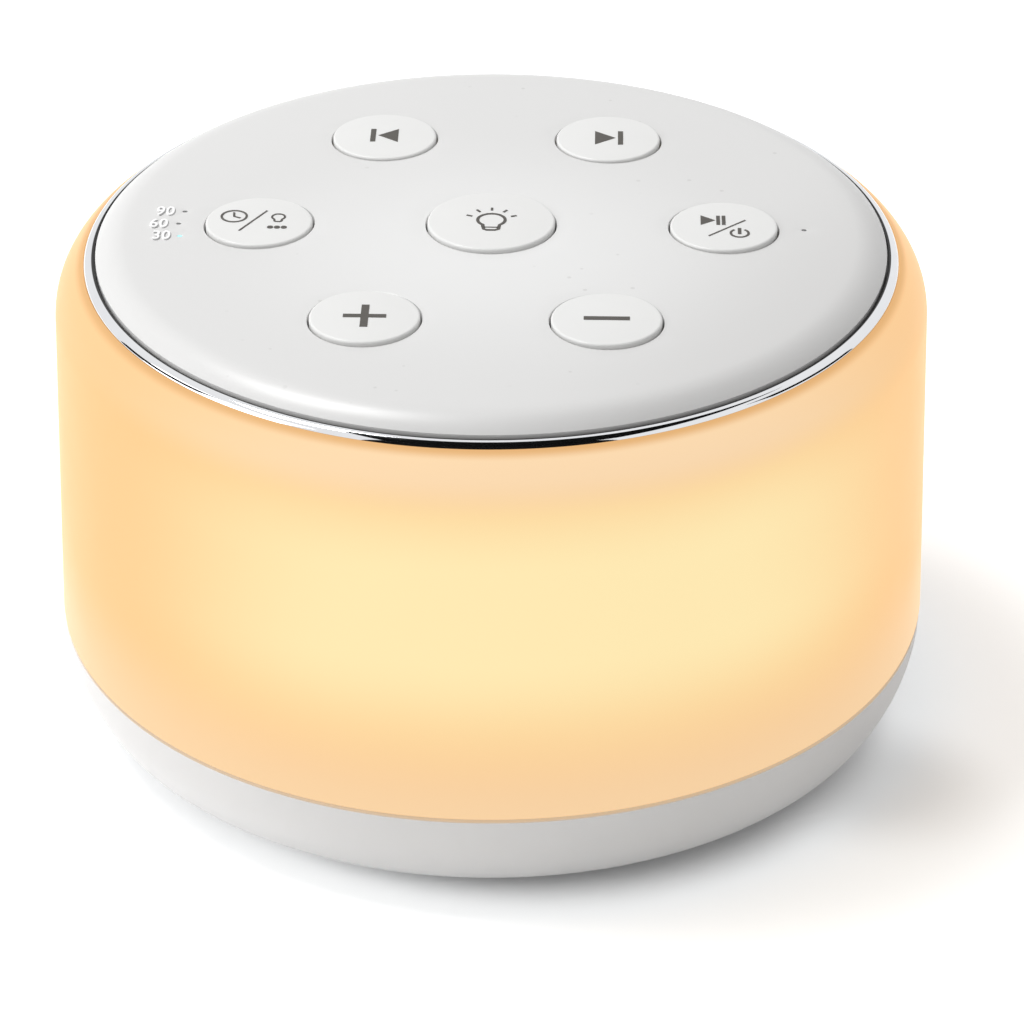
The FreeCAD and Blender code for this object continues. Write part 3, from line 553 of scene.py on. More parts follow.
# %% Ring plating
# painted shade on the bead's inner edge, where the gap to the lid falls in shadow
JOINT_RADIUS = 45.04
JOINT_FADE = 0.06
JOINT_PAINTED_SHADE = (0.02, 0.02, 0.02)
PLATE_DULL = (0.74, 0.75, 0.77)
PLATE_BRIGHT = (0.82, 0.83, 0.85)
HAZE_SIZE = 4.0
HAZE_LEAST = 0.025
HAZE_SWING = 0.05
RIPPLE_SIZE = 1.6
RIPPLE_STRENGTH = 0.02
RIPPLE_DEPTH = 0.01


def plated():
    """Mirror plating with faint haze, and painted shade along the joint with the lid."""
    finish = Finish("ring_plating", PLATE_BRIGHT, 0.04, 1.0)
    haze = finish.noise(HAZE_SIZE, 3.0)
    finish.set("Roughness", HAZE_LEAST + haze * HAZE_SWING)
    plate = finish.mix(haze, PLATE_DULL, PLATE_BRIGHT)
    x, y, _ = finish.parts(finish.place())
    reach = distance(x, y)
    # painted shade: the plating turns dark inside the joint radius
    finish.set("Base Color", finish.mix(reach.rises(JOINT_RADIUS, JOINT_RADIUS + JOINT_FADE),
                                        JOINT_PAINTED_SHADE, plate))
    finish.bump(finish.noise(RIPPLE_SIZE, 2.0), RIPPLE_STRENGTH, RIPPLE_DEPTH)
    return finish


print("the joint's dark line starts at radius", JOINT_RADIUS)

# %% Ring
RING_STEPS = 360
BEAD_STEPS = 12
BEAD_BULGE = 0.26
BEAD_START = RING_OUTER_HEIGHT - 0.12
BEAD_END_RADIUS = LID_RADIUS + 0.3
LID_GAP = 0.15
LIP_DROP = 0.08

bead = arc((RING_RADIUS, BEAD_START), (BEAD_END_RADIUS, RING_INNER_HEIGHT), BEAD_BULGE, BEAD_STEPS)
ring_outline = [(RING_INNER_RADIUS, RING_SEAT), (RING_RADIUS, RING_SEAT)] + bead
ring_outline += [(LID_RADIUS + LID_GAP, RING_INNER_HEIGHT - LIP_DROP), (LID_RADIUS + LID_GAP, LID_LIP),
                 (RING_INNER_RADIUS, LID_LIP)]
ring = turned("bright_ring", ring_outline, plated(), RING_STEPS)
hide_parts("chrome_ring")
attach(ring, "housing")
print("ring outline has", len(ring_outline), "points")

# %% [markdown]
# ## The lid
#
# The lid is a thin dome with seven round key holes and four small light windows. A dome with
# holes can be cut with booleans, but those leave long thin faces that shade badly. Here the plan
# of the lid is filled with triangles round its holes first, and then each point is lifted onto
# the dome, so the surface stays even and each hole keeps a soft edge.


# %% Dome and holes
KEY_CIRCLE = 26.2
KEY_HOLE_RADIUS = 6.25
LIGHT_KEY_HOLE_RADIUS = 7.4
KEY_ANGLES = {
    "play": 0.0, "next": 60.0, "previous": 120.0,
    "timer": 180.0, "volume_up": 240.0, "volume_down": 300.0}
WINDOW_SPOTS = {
    "window_90": (-34.9, 3.4), "window_60": (-35.35, 0.33),
    "window_30": (-34.95, -2.78), "window_power": (35.25, 0.27)}
WINDOW_RADIUS = 0.20
WINDOW_STRETCH = 0.05
WINDOW_STEPS = 20
KEY_HOLE_STEPS = 84
LIGHT_HOLE_STEPS = 96


def dome_height(radius):
    """Height of the lid's top at a distance from the middle."""
    sag = DOME_TOP - DOME_FOOT
    ball = (DOME_RADIUS ** 2 + sag ** 2) / (2 * sag)
    return DOME_TOP - (ball - math.sqrt(ball ** 2 - radius ** 2))


def loop(centre, radius, steps, stretch):
    """A circle, or a slot with round ends where stretch moves its two halves apart along x."""
    points = []
    for step in range(steps):
        x, y = polar(radius, 360.0 * (step + 0.5) / steps)
        shift = math.copysign(stretch, x)
        points.append((centre[0] + x + shift, centre[1] + y))
    return points


holes = [((0.0, 0.0), LIGHT_KEY_HOLE_RADIUS, LIGHT_HOLE_STEPS, 0.0)]
holes += [(polar(KEY_CIRCLE, angle), KEY_HOLE_RADIUS, KEY_HOLE_STEPS, 0.0)
          for angle in KEY_ANGLES.values()]
holes += [(spot, WINDOW_RADIUS, WINDOW_STEPS, WINDOW_STRETCH) for spot in WINDOW_SPOTS.values()]
print("lid has", len(holes), "holes")

# %% Lid plan
HOLE_EASE = 0.14
EASE_SHARES = (0.0, 0.25, 0.6, 1.0)
RIM_STEPS = 240
GRID_STEP = 2.0
GRID_RINGS = 20
GRID_SPOTS = 7
GRID_CLEAR = 0.7
PLAN_MERGE = 1e-6
HOLE_MARGIN = 1e-4


def lid_plan():
    """Triangles that fill the lid's plan between its rim and its holes."""
    points = []
    edges = []

    def add_loop(spots):
        first = len(points)
        points.extend(spots)
        count = len(spots)
        edges.extend((first + i, first + (i + 1) % count) for i in range(count))

    add_loop([polar(DOME_RADIUS, 360.0 * step / RIM_STEPS) for step in range(RIM_STEPS)])
    for centre, radius, steps, stretch in holes:
        for share in EASE_SHARES:
            add_loop(loop(centre, radius + HOLE_EASE * share, steps, stretch))
    for ring_number in range(1, GRID_RINGS + 1):
        radius = ring_number * GRID_STEP
        count = ring_number * GRID_SPOTS
        for step in range(count):
            spot = polar(radius, 360.0 * step / count)
            clear = all(math.dist(spot, centre) > size + stretch + HOLE_EASE + GRID_CLEAR
                        for centre, size, _, stretch in holes)
            if clear:
                points.append(spot)
    filled = delaunay_2d_cdt([Vector(point) for point in points], edges, [], 0, PLAN_MERGE)
    spots = filled[0]
    triangles = []
    for face in filled[2]:
        middle = sum((spots[corner] for corner in face), Vector((0.0, 0.0))) / len(face)
        if middle.length < DOME_RADIUS and not any(in_hole(middle, hole) for hole in holes):
            triangles.append(face)
    return spots, triangles


def in_hole(spot, hole):
    """Whether a spot of the plan lies inside a hole."""
    (x, y), radius, _, stretch = hole
    across = max(0.0, abs(spot.x - x) - stretch)
    return math.hypot(across, spot.y - y) < radius - HOLE_MARGIN


def hole_drop(spot):
    """How far a hole's soft edge lets the surface fall at a spot."""
    for (x, y), radius, _, stretch in holes:
        across = max(0.0, abs(spot.x - x) - stretch)
        gap = math.hypot(across, spot.y - y) - radius
        if gap < HOLE_EASE:
            share = 1.0 - max(0.0, gap) / HOLE_EASE
            return HOLE_EASE * (1.0 - math.sqrt(max(0.0, 1.0 - share ** 2)))
    return 0.0


print("lid edges at the holes are eased by", HOLE_EASE, "mm")


# %% Lid mesh
RIM_BULGE = -0.36
RIM_ARC_STEPS = 12
SKIRT_GAP = 0.15
SKIRT_DEPTH = 2.3
SKIRT_WALL = 1.5
SKIRT_ROOT = 0.5
LID_WELD = 2e-6
RIM_MARGIN = 0.01


def build_lid(work):
    """Both skins of the dome, the walls of its holes and the rolled rim."""
    spots, triangles = lid_plan()
    tops = [work.verts.new((spot.x * MM, spot.y * MM,
                            (dome_height(spot.length) - hole_drop(spot)) * MM)) for spot in spots]
    unders = [work.verts.new((spot.x * MM, spot.y * MM,
                              (dome_height(spot.length) - LID_WALL) * MM)) for spot in spots]
    for face in triangles:
        work.faces.new([tops[corner] for corner in face])
        work.faces.new([unders[corner] for corner in reversed(face)])
    partner = dict(zip(tops, unders))
    for edge in [edge for edge in work.edges if edge.is_boundary and edge.verts[0] in partner]:
        first, second = edge.verts
        if math.hypot(first.co.x, first.co.y) < (DOME_RADIUS - RIM_MARGIN) * MM:
            work.faces.new((first, second, partner[second], partner[first]))
    skirt = RING_INNER_RADIUS - SKIRT_GAP
    skirt_foot = LID_LIP - SKIRT_DEPTH
    under_foot = DOME_FOOT - LID_WALL
    rim = arc((DOME_RADIUS, DOME_FOOT), (LID_RADIUS, LID_EDGE_HEIGHT), RIM_BULGE, RIM_ARC_STEPS)
    rim += [(LID_RADIUS, LID_LIP), (skirt, LID_LIP), (skirt, skirt_foot),
            (skirt - SKIRT_WALL, skirt_foot), (skirt - SKIRT_WALL, under_foot - SKIRT_ROOT),
            (DOME_RADIUS, under_foot)]
    rings = []
    for radius, height in rim:
        rings.append([work.verts.new((*[part * MM for part in polar(radius, 360.0 * i / RIM_STEPS)],
                                      height * MM)) for i in range(RIM_STEPS)])
    for outer, inner in zip(rings, rings[1:]):
        for i in range(RIM_STEPS):
            after = (i + 1) % RIM_STEPS
            work.faces.new((outer[i], inner[i], inner[after], outer[after]))
    bmesh.ops.remove_doubles(work, verts=work.verts, dist=LID_WELD)
    bmesh.ops.delete(work, geom=[v for v in work.verts if not v.link_faces], context="VERTS")


print("lid rim is a turned arc of", RIM_ARC_STEPS, "steps")

# %% Lid finish
LID_WHITE = (0.80, 0.80, 0.795)
# painted shade colour, mixed in away from a painted highlight in the middle and towards the right side
LID_PAINTED_SHADE = (0.65, 0.645, 0.638)
DUST = (0.42, 0.41, 0.40)
HIGHLIGHT_SHIFT = 6.0
HIGHLIGHT_FADES = (4.0, 34.0)
SIDE_SHADE_RISES = (24.0, 52.0)
SIDE_LEAN = 0.6
RIM_SHADE_SHARE = 0.55
SIDE_SHADE_SHARE = 0.45
DUST_SPACING = 3.0
DUST_SIZE = 0.11
DUST_PATCH = 11.0
DUST_PATCH_RISES = (0.50, 0.60)
DUST_SHOWS = 0.30


def lid_finish():
    """Satin white with a painted highlight in the middle, painted shade towards the rim and the right
    side, and the odd fleck of dust.
    """
    finish = plastic("lid_satin", LID_WHITE, roughness=0.32, grain=0.3, drift=30.0, bump=0.06)
    tone = Field(finish, finish.shader.inputs["Base Color"].links[0].from_socket)
    x, y, _ = finish.parts(finish.place())
    # painted highlight in the middle and painted shade towards the rim and the right side
    painted_shade = (distance(x, y + HIGHLIGHT_SHIFT).rises(*HIGHLIGHT_FADES) * RIM_SHADE_SHARE
            + (x - y * SIDE_LEAN).rises(*SIDE_SHADE_RISES) * SIDE_SHADE_SHARE)
    tone = finish.mix(painted_shade.clamped(), tone, LID_PAINTED_SHADE)
    dusty = finish.specks(DUST_SPACING, DUST_SIZE)
    dusty = dusty * finish.noise(DUST_PATCH, 1.0).rises(*DUST_PATCH_RISES)
    finish.set("Base Color", finish.mix(dusty * DUST_SHOWS, tone, DUST))
    return finish


lid = add_piece("lid", mesh_from("lid", build_lid), lid_finish())
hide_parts("top_cover")
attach(lid, "housing")
print("lid has", len(lid.data.polygons), "faces")

# %% [markdown]
# ## Keys
#
# Each key is a cup with a flat face and a softly rounded edge that stands a little proud of the
# lid. The rounded edge is what draws the thin bright line round each key, so it is part of the
# outline and not a bevel added later. Every key rides on its own body, because it goes down when
# it is pressed.


# %% Key caps
KEY_RADIUS = 6.05
KEY_TOP = 59.42
LIGHT_KEY_RADIUS = 7.2
LIGHT_KEY_TOP = 59.79
KEY_FOOT = 53.9
KEY_EASE = 0.28
KEY_BULGE = KEY_EASE * 0.29
KEY_EDGE_STEPS = 8
KEY_STEPS = 128
CROWN = 0.02
CAP_THICK = 1.4
CAP_WALL = 1.1
FLANGE_REACH = 1.1
FLANGE_THICK = 1.0
POST_RADIUS = 1.5
POST_FOOT = KEY_FOOT + 0.7


def key_outline(radius, top):
    """A cap with a rounded edge, a thin wall, a post and a flange that stops under the lid."""
    edge = arc((radius, top - KEY_EASE), (radius - KEY_EASE, top), KEY_BULGE, KEY_EDGE_STEPS)
    inner = radius - CAP_WALL
    flange = radius + FLANGE_REACH
    flange_top = KEY_FOOT + FLANGE_THICK
    return [(0.0, top + CROWN), (0.0, POST_FOOT), (POST_RADIUS, POST_FOOT),
            (POST_RADIUS, top - CAP_THICK), (inner, top - CAP_THICK), (inner, KEY_FOOT),
            (flange, KEY_FOOT), (flange, flange_top), (radius, flange_top)] + edge


key_satin = plastic(
    "key_satin", (0.79, 0.79, 0.78), roughness=0.36, grain=0.3, drift=12.0, bump=0.05)
key_centres = {name: polar(KEY_CIRCLE, angle) for name, angle in KEY_ANGLES.items()}
key_centres["light"] = (0.0, 0.0)
for name, centre in key_centres.items():
    radius = LIGHT_KEY_RADIUS if name == "light" else KEY_RADIUS
    top = LIGHT_KEY_TOP if name == "light" else KEY_TOP
    cap = turned(f"{name}_cap", key_outline(radius, top), key_satin, KEY_STEPS, centre)
    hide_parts(f"{name}_key")
    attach(cap, f"{name}_button")
print(len(key_centres), "keys")

# %% [markdown]
# ## Printed symbols
#
# The symbols are printed in a warm dark grey. Print is only a few hundredths of a millimetre
# thick, but as thin raised shapes the symbols stay crisp at any zoom and ride with their keys.
# Everything is drawn from two tools: a stroke of even width and a filled outline.


# %% Drawing tools
MITRE_LIMIT = 0.35


def stroke(points, width, closed=False):
    """Quads along a line of points, as lists of corners."""
    spots = [Vector(point) for point in points]
    count = len(spots)
    sides = []
    for index, spot in enumerate(spots):
        before = spots[index - 1] if closed or index else spot
        after = spots[(index + 1) % count] if closed or index < count - 1 else spot
        heading = (after - before).normalized()
        back = (spot - before).normalized() if spot != before else heading
        bend = max(MITRE_LIMIT, abs(back.dot(heading)))
        across = Vector((-heading.y, heading.x)) * (width / 2 / bend)
        sides.append((spot + across, spot - across))
    quads = []
    last = count if closed else count - 1
    for index in range(last):
        after = (index + 1) % count
        quads.append([sides[index][0], sides[index][1], sides[after][1], sides[after][0]])
    return quads


def round_points(centre, radius, first=0.0, last=360.0, steps=40):
    """Points along a circle or part of one."""
    points = []
    for step in range(steps + (last - first < 360.0)):
        x, y = polar(radius, first + (last - first) * step / steps)
        points.append((centre[0] + x, centre[1] + y))
    return points


def corners_of(middle, size):
    """The corners of a rectangle about its middle."""
    return [(middle[0] + i * size[0] / 2, middle[1] + j * size[1] / 2)
            for i, j in ((-1, -1), (1, -1), (1, 1), (-1, 1))]


def bar(x, y, width, depth):
    """A filled rectangle about its middle."""
    return [[Vector(corner) for corner in corners_of((x, y), (width, depth))]]


def solid(points):
    """A filled shape."""
    return [[Vector(point) for point in points]]


def moved(points, x, y):
    """Points shifted across the key."""
    return [(px + x, py + y) for px, py in points]


print("symbols are drawn with strokes, bars and filled shapes")


# %% Lamp bulb and its rays
BULB_NECK = 0.27
BULB_DEPTH = 0.82
BULB_CAP = 0.55
BULB_TAPER = 0.9
BULB_ARC = (-52.0, 232.0)
BULB_STEPS = 30


def bulb_points(size):
    """The outline of a lamp bulb that is size across its head, from neck to neck."""
    head = round_points((0.0, 0.0), size / 2, *BULB_ARC, BULB_STEPS)
    neck = size * BULB_NECK
    cap = neck * BULB_CAP
    low = -size * BULB_DEPTH
    return [(-cap, low), (cap, low), (neck, low * BULB_TAPER)] + head + [(-neck, low * BULB_TAPER)]


def rays(centre, inner, outer, angles, width):
    """Short strokes that stand round a point."""
    quads = []
    for angle in angles:
        near = polar(inner, angle)
        far = polar(outer, angle)
        quads += stroke([(centre[0] + near[0], centre[1] + near[1]),
                         (centre[0] + far[0], centre[1] + far[1])], width)
    return quads


print("a bulb outline has", len(bulb_points(1.0)), "points")

# %% Symbols in millimetres from each key's middle
SYMBOLS = {
    "previous": bar(-1.37, 0.1, 0.62, 3.4) + solid([(-0.78, 0.1), (1.58, 1.85), (1.58, -1.65)]),
    "next": bar(1.45, 0.0, 0.6, 3.6) + solid([(0.86, 0.0), (-1.54, -1.8), (-1.54, 1.8)]),
    "volume_up": (bar(0.0, 0.0, 4.7, 0.78) + bar(0.0, 1.47, 0.86, 2.16)
                  + bar(0.0, -1.47, 0.86, 2.16)),
    "volume_down": bar(0.0, 0.0, 5.0, 0.82),
    "timer": (
        stroke(round_points((-2.9, 1.1), 1.42), 0.27, True)
        + stroke([(-2.98, 2.05), (-2.9, 1.05), (-2.15, 0.65)], 0.25)
        + stroke([(-2.1, -2.5), (0.75, 2.6)], 0.22)
        + stroke(moved(bulb_points(1.45), 2.12, 1.05), 0.23, True)
        + [corner for x in (1.35, 2.12, 2.89)
           for corner in solid(round_points((x, -1.55), 0.36, steps=16))]),
    "play": (
        solid([(-2.6, 2.5), (-2.6, 0.1), (-0.95, 1.3)])
        + bar(-0.62, 1.3, 0.42, 2.3) + bar(0.0, 1.3, 0.42, 2.3)
        + stroke([(-1.72, -2.6), (2.45, 1.4)], 0.22)
        + stroke(round_points((1.74, -1.85), 1.0, 125.0, 415.0), 0.28)
        + bar(1.74, -1.35, 0.4, 1.5)),
    "light": (
        stroke(moved(bulb_points(3.1), 0.02, 0.1), 0.36, True)
        + stroke([(-0.8, -1.75), (0.84, -1.75)], 0.22)
        + rays((0.02, 0.1), 2.35, 3.05, (22.0, 56.0, 90.0, 124.0, 158.0), 0.28)),
}
print("symbols drawn for", ", ".join(SYMBOLS))

# %% Print as a thin mesh
INK_LIFT = 0.02
INK_THICK = 0.03


def prism(work, points, bottom, top):
    """An upright block over a closed outline, in millimetres."""
    under = [work.verts.new((x * MM, y * MM, bottom * MM)) for x, y in points]
    over = [work.verts.new((x * MM, y * MM, top * MM)) for x, y in points]
    work.faces.new(list(reversed(under)))
    work.faces.new(over)
    for index in range(len(points)):
        after = (index + 1) % len(points)
        work.faces.new((under[index], under[after], over[after], over[index]))


def build_symbol(work, shapes, centre, base):
    """Thin plates of print on a key's face."""
    for corners in shapes:
        prism(work, moved(corners, *centre), base, base + INK_THICK)


print("print is", INK_THICK, "mm thick")

# %% Print the symbols
INK_THIN = (0.084, 0.077, 0.067)
INK_FULL = (0.058, 0.052, 0.044)
INK_MOTTLE = 0.5
INK_BUMP = 0.15


def ink_finish():
    """Screen print: matt, warm dark grey, a little uneven where the screen let less through."""
    finish = Finish("symbol_ink", INK_FULL, 0.55)
    mottle = finish.noise(INK_MOTTLE, 3.0)
    finish.set("Base Color", finish.mix(mottle, INK_FULL, INK_THIN))
    finish.bump(mottle, INK_BUMP, GRAIN_DEPTH)
    return finish


ink = ink_finish()
for name, shapes in SYMBOLS.items():
    top = LIGHT_KEY_TOP if name == "light" else KEY_TOP
    centre = key_centres[name]
    mesh = mesh_from(f"{name}_symbol",
                     lambda work: build_symbol(work, shapes, centre, top + INK_LIFT))
    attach(add_piece(f"{name}_symbol", mesh, ink), f"{name}_button")
print(len(SYMBOLS), "symbols")

# %% [markdown]
# ## Timer numbers and light windows
#
# Beside the timer key the lid carries the minutes 90, 60 and 30 as small raised figures, each
# with a small light window. The window of the chosen time is lit in pale cyan. The figures are
# Blender text turned into a mesh, so that they are real raised shapes. A thin grey copy, shifted
# a little to the front and the right, is a painted shadow that makes white on white readable.

# %% Raised figures
FIGURE_SIZE = 2.9
FIGURE_WIDTH = 0.70
FIGURE_SPOTS = {"90": (-37.1, 3.35), "60": (-37.6, 0.24), "30": (-37.05, -2.76)}
FIGURE_RAISE = 0.12
FIGURE_WEIGHT = 0.05
FIGURE_SPACING = 1.08
# the grey copy is a painted shadow, shifted to the front and the right of each figure
SHADE_OFFSET = (0.13, -0.12)
SHADE_RAISE = 0.03
figure_satin = plastic(
    "figure_white", (0.95, 0.95, 0.95), roughness=0.3, grain=0.2, drift=6.0, bump=0.04)
figure_painted_shadow = plastic(
    "figure_painted_shadow", (0.36, 0.36, 0.36), roughness=0.5, grain=0.2, drift=6.0, bump=0.04)


def figure(name, text, place, thick, finish):
    """A text as a solid mesh that stands on the lid at a place."""
    letters = bpy.data.curves.new(name, "FONT")
    letters.body = text
    letters.size = FIGURE_SIZE * MM
    letters.align_x = "CENTER"
    letters.align_y = "CENTER"
    letters.extrude = thick * MM
    letters.offset = FIGURE_WEIGHT * MM
    letters.space_character = FIGURE_SPACING
    holder = bpy.data.objects.new(name + "_text", letters)
    bpy.context.scene.collection.objects.link(holder)
    bpy.context.view_layer.update()
    mesh = bpy.data.meshes.new_from_object(holder)
    bpy.data.objects.remove(holder)
    mesh.materials.clear()
    height = dome_height(math.hypot(*place))
    mesh.transform(Matrix.Translation((place[0] * MM, place[1] * MM, height * MM))
                   @ Matrix.Diagonal((FIGURE_WIDTH, 1.0, 1.0, 1.0)))
    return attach(add_piece(name, mesh, finish), "housing")


for text, (x, y) in FIGURE_SPOTS.items():
    figure(f"figure_{text}", text, (x, y), FIGURE_RAISE, figure_satin)
    behind = (x + SHADE_OFFSET[0], y + SHADE_OFFSET[1])
    # painted shadow under each figure
    figure(f"figure_{text}_shade", text, behind, SHADE_RAISE, figure_painted_shadow)
print("figures:", ", ".join(FIGURE_SPOTS))

# %% [markdown]
# ## Light pipes
#
# Behind each window a clear pipe carries the light of its indicator up to the lid. Only the tip
# shows, flush with the surface: nearly black when its light is off, and pale cyan when it is on.

# %% Light pipes
PIPE_FOOT_LOW = 51.3
PIPE_FOOT_HIGH = 56.7
PIPE_FOOT_SIZE = (2.4, 1.4)
PIPE_FIT = 0.02


def build_pipe(work, spot):
    """A square foot on the indicator and a slim tip that fills the window."""
    tip = loop(spot, WINDOW_RADIUS + PIPE_FIT, WINDOW_STEPS, WINDOW_STRETCH)
    prism(work, corners_of(spot, PIPE_FOOT_SIZE), PIPE_FOOT_LOW, PIPE_FOOT_HIGH)
    prism(work, tip, PIPE_FOOT_HIGH, dome_height(math.hypot(*spot)) - PIPE_FIT)


def pipe_finish(name, colour, strength):
    """Clear resin that glows in its own colour when its light is on."""
    finish = plastic(name, colour, roughness=0.25, grain=0.3, drift=2.0, bump=0.05)
    finish.set("Emission Color", (*colour, 1.0))
    finish.set("Emission Strength", strength)
    return finish


pipe_dark = pipe_finish("pipe_off", (0.13, 0.13, 0.13), 0.0)
pipe_lit = pipe_finish("pipe_on", (0.26, 0.62, 0.63), 0.75)
LIT_WINDOW = "window_30"
for name, spot in WINDOW_SPOTS.items():
    mesh = mesh_from(name, lambda work: build_pipe(work, spot))
    pipe = add_piece(name, mesh, pipe_lit if name == LIT_WINDOW else pipe_dark)
    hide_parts("light_pipes")
    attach(pipe, "housing")
print(len(WINDOW_SPOTS), "light pipes, one of them lit")

# %% [markdown]
# ## The floor
#
# The photo has a plain white studio. A floor that is white everywhere would lose the shadow that
# makes the case stand on something. So the paper is lit like any other surface, and some light is
# added for the camera and for mirrors only. It grows with the distance from the case, so the
# shadow next to the foot pan stays dark.

# %% Floor
FLOOR_SIZE = 8.0
FLOOR_LIFT = 0.42
FLOOR_CLEAR = 0.04
FLOOR_TINT = (0.97, 0.99, 1.0)
SHADE_CENTRE = (6.0, -8.0)
SHADE_NEAR = 34.5
SHADE_FAR = 42.4
# a painted shadow patch on the floor at the front right of the case
SHADOW_PATCH_CENTRE = (46.0, -24.0)
SHADOW_PATCH_NEAR = 3.0
SHADOW_PATCH_FAR = 16.0
SHADOW_PATCH_DEPTH = 0.5


def floor_material():
    """White paper that is lifted towards white for the camera, but not under the case, and less in a
    painted shadow at the front right.
    """
    finish = Finish("floor_white", (0.9, 0.9, 0.9), 0.7)
    x, y, _ = finish.parts(finish.place())
    # the lift is left out near the case, so the shadow there is partly real and partly painted shade
    away = distance(x - SHADE_CENTRE[0], y - SHADE_CENTRE[1])
    lift = away.rises(SHADE_NEAR, SHADE_FAR) * (FLOOR_LIFT - FLOOR_CLEAR) + FLOOR_CLEAR
    # painted shadow: less lift in a patch at the front right of the case
    aside = distance(x - SHADOW_PATCH_CENTRE[0], y - SHADOW_PATCH_CENTRE[1])
    painted_shadow = 1.0 - aside.rises(SHADOW_PATCH_NEAR, SHADOW_PATCH_FAR)
    lift = lift * (1.0 - painted_shadow * SHADOW_PATCH_DEPTH)
    finish.set("Emission Color", finish.mix(finish.showing() * lift, (0.0, 0.0, 0.0), FLOOR_TINT))
    finish.set("Emission Strength", 1.0)
    return finish.material


def sheets(name, corner_sets, material):
    """Flat four-sided sheets of the studio, from corners in metres."""
    mesh = bpy.data.meshes.new(name)
    points = [corner for corners in corner_sets for corner in corners]
    mesh.from_pydata(points, [], [tuple(range(i, i + 4)) for i in range(0, len(points), 4)])
    mesh.materials.append(material)
    sheet = bpy.data.objects.new(name, mesh)
    bpy.context.scene.collection.objects.link(sheet)
    return sheet


half = FLOOR_SIZE / 2
sheets("floor", [[(-half, -half, 0), (half, -half, 0), (half, half, 0), (-half, half, 0)]],
       floor_material())
print("floor is", FLOOR_SIZE, "m wide")

# %% [markdown]
# ## The world
#
# The world is the soft light that comes from everywhere in a white studio. Its strength as a lamp
# and its brightness as a background are two different wishes, so a Light Path node gives the
# camera and the mirrors a plain white, and everything else the weaker light.

# %% World
AMBIENT = 0.45
WHITE = (1.0, 1.0, 1.0, 1.0)

world = bpy.data.worlds.new("studio")
bpy.context.scene.world = world
world.use_nodes = True
world.node_tree.nodes.clear()
sky = Nodes(world.node_tree)
weak = sky.node("ShaderNodeBackground", {}, {"Color": WHITE, "Strength": AMBIENT})
plain = sky.node("ShaderNodeBackground", {}, {"Color": WHITE, "Strength": 1.0})
both = sky.node("ShaderNodeMixShader", {}, {0: sky.showing(), 1: weak, 2: plain})
sky.node("ShaderNodeOutputWorld", {}, {"Surface": both})
print("world lights with", AMBIENT, "and shows as 1")

# %% [markdown]
# ## The lamps
#
# Two panels shape the case. A near one above and behind draws the bright rim of the lid, and a
# wide far one at the left fills the front softly and lets the shadow fall to the right. Wide
# lamps give soft edges, and their power stays low so that the white lid doesn't clip.


# %% Lamps
def panel(name, place, target, size, power):
    """A soft rectangular lamp aimed at a point, in millimetres and watts."""
    lamp = bpy.data.lights.new(name, "AREA")
    lamp.shape = "RECTANGLE"
    lamp.size, lamp.size_y = [side * MM for side in size]
    lamp.energy = power
    holder = bpy.data.objects.new(name, lamp)
    holder.location = Vector(place) * MM
    holder.rotation_mode = "QUATERNION"
    holder.rotation_quaternion = (Vector(target) - Vector(place)).to_track_quat("-Z", "Y")
    bpy.context.scene.collection.objects.link(holder)


panel("key_panel", (-300, 100, 780), (0, 0, 30), (280, 280), 3.5)
panel("left_panel", (-1200, -250, 520), (0, 0, 25), (1200, 800), 6.1)
print("two soft panels")

# %% [markdown]
# ## Dark cards for the ring
#
# Plated metal looks like metal because of the dark things that it mirrors. A photographer stands
# black cards round a bright object for this. Here one card stands over and behind the camera for
# the black band at the front, and a slanted one at each side gives the tapered streaks. Only
# mirroring rays see them, so they take no light away.

# %% Dark cards
CARD_REACH = 650
CARD_TOP = 760
SIDE_REACH = 900

card_dark = Finish("card_dark", (0.01, 0.01, 0.01), 0.5)
card_dark.set("Specular IOR Level", 0.0)
CARDS = {
    "front_card": [
        [(-400, -CARD_REACH, CARD_TOP), (520, -CARD_REACH, CARD_TOP), (520, 330, CARD_TOP),
         (-230, 140, CARD_TOP)],
        [(-400, -CARD_REACH, 150), (430, -CARD_REACH, 130), (430, -CARD_REACH, CARD_TOP),
         (-400, -CARD_REACH, CARD_TOP)]],
    "left_card": [[(-SIDE_REACH, -130, 330), (-SIDE_REACH, 360, 60), (-SIDE_REACH, 360, 330),
                   (-SIDE_REACH, -130, CARD_TOP)]],
    "right_card": [[(SIDE_REACH, -150, 330), (SIDE_REACH, 330, 60), (SIDE_REACH, 330, 330),
                    (SIDE_REACH, -150, CARD_TOP)]],
}
for name, corner_sets in CARDS.items():
    metres = [[Vector(corner) * MM for corner in corners] for corners in corner_sets]
    card = sheets(name, metres, card_dark.material)
    card.visible_camera = False
    card.visible_diffuse = False
    card.visible_shadow = False
    card.visible_transmission = False
print(len(CARDS), "dark cards")

# %% [markdown]
# ## Finishes for the parts inside and under
#
# Parts that only show through a slot, under the case or when it is taken apart still get the
# finish that they have on a real one. The table gives each sub-part its recipe.

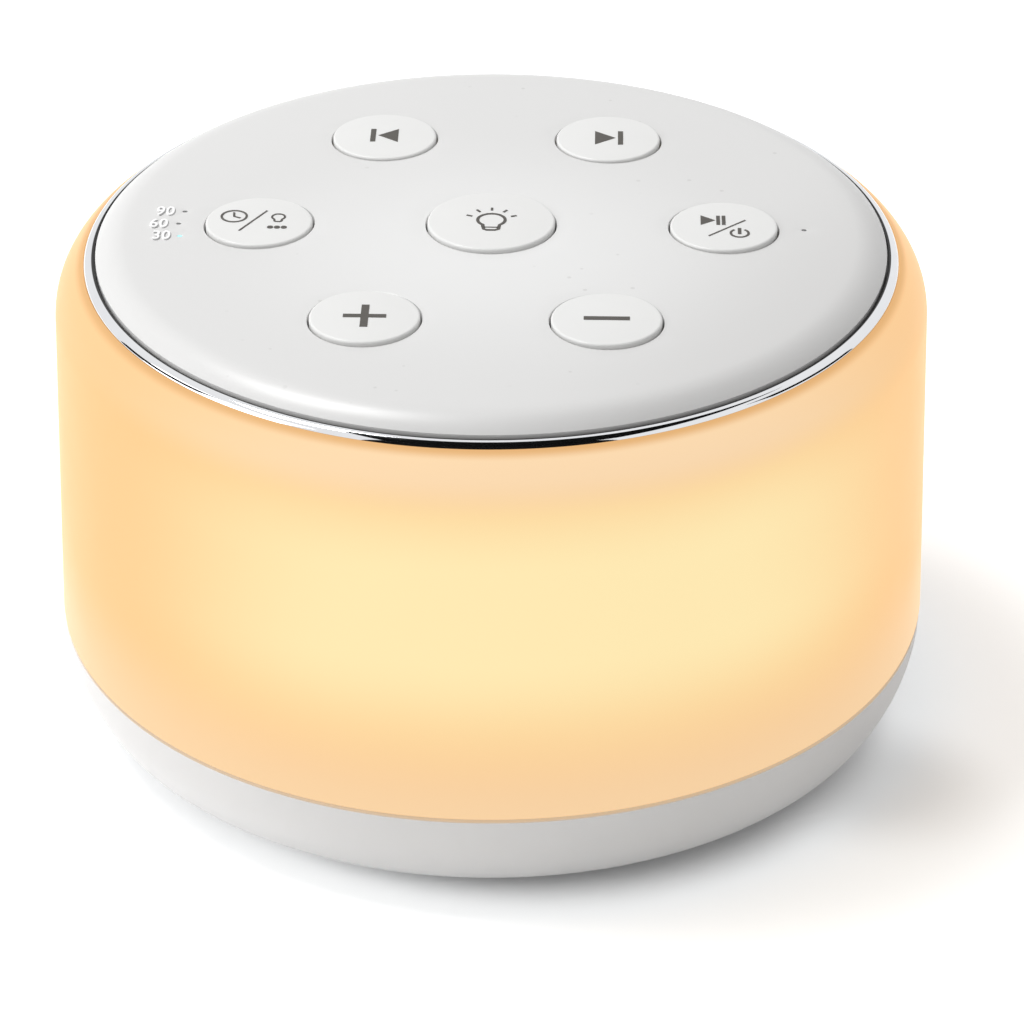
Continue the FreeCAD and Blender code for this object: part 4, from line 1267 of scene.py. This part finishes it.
# %% Finishes by sub-part
# sub-part: name of the finish, colour, roughness, grain and drift in millimetres, bump, and the
# specular level where it isn't the usual one
PLASTICS = {
    "base_pan": ("pan_satin", (0.80, 0.80, 0.80), 0.40, 0.3, 26.0, 0.06),
    "rubber_feet": ("foot_rubber", (0.10, 0.10, 0.105), 0.75, 0.2, 4.0, 0.4, 0.3),
    "inner_core": ("core_matte", (0.82, 0.82, 0.81), 0.6, 0.4, 14.0, 0.15),
    "light_strip": ("strip_coat", (0.85, 0.85, 0.80), 0.35, 0.5, 3.0, 0.1),
    "strip_lights": ("light_phosphor", (0.90, 0.72, 0.22), 0.2, 0.3, 2.0, 0.1),
    "indicator_lights": ("indicator_resin", (0.75, 0.85, 0.88), 0.2, 0.3, 2.0, 0.1),
    "main_board": ("board_mask", (0.04, 0.20, 0.10), 0.3, 0.6, 9.0, 0.25),
    "board_chips": ("chip_resin", (0.03, 0.03, 0.033), 0.5, 0.15, 3.0, 0.3),
    "board_plugs": ("plug_nylon", (0.78, 0.76, 0.68), 0.45, 0.3, 4.0, 0.15),
    "switch_housings": ("switch_body", (0.04, 0.04, 0.045), 0.45, 0.2, 3.0, 0.2),
    "speaker_frame": ("frame_coat", (0.035, 0.035, 0.04), 0.5, 0.3, 6.0, 0.3),
    "speaker_magnet": ("magnet_ferrite", (0.11, 0.11, 0.12), 0.7, 0.25, 3.0, 0.5),
    "speaker_cone": ("cone_pulp", (0.05, 0.05, 0.055), 0.85, 0.5, 3.0, 0.8),
    "speaker_surround": ("surround_rubber", (0.03, 0.03, 0.03), 0.6, 0.3, 4.0, 0.2),
    "speaker_spider": ("spider_cloth", (0.62, 0.42, 0.16), 0.8, 0.35, 2.0, 0.8),
    "speaker_gasket": ("gasket_foam", (0.06, 0.06, 0.06), 0.95, 0.3, 2.0, 1.0),
    "power_lead": ("lead_red", (0.50, 0.03, 0.03), 0.4, 0.4, 5.0, 0.1),
    "speaker_lead": ("lead_black", (0.03, 0.03, 0.03), 0.4, 0.4, 5.0, 0.1),
    "light_lead": ("lead_white", (0.82, 0.82, 0.80), 0.4, 0.4, 5.0, 0.1),
}
steel = metal("zinc_steel", (0.58, 0.58, 0.60), 0.32, (1.0, 1.0, 6.0))
plunger_grey = plastic(
    "plunger_grey", (0.25, 0.25, 0.26), roughness=0.4, grain=0.3, drift=3.0, bump=0.1)
inside = {name: plastic(*row) for name, row in PLASTICS.items()}
inside["power_board"] = inside["main_board"]
inside["speaker_yoke"] = metal("yoke_zinc", (0.62, 0.61, 0.58), 0.35)
inside["usb_socket"] = metal("socket_nickel", (0.72, 0.71, 0.69), 0.25, (6.0, 1.0, 1.0))
for name in ("base_screws", "board_screws", "cover_screws", "speaker_screws"):
    inside[name] = steel
for name in key_centres:
    inside[f"{name}_plunger"] = plunger_grey

for name, finish in inside.items():
    for slot in nodes[name].material_slots:
        slot.material = finish.material
print(len(inside), "sub-parts have a finish of their own")
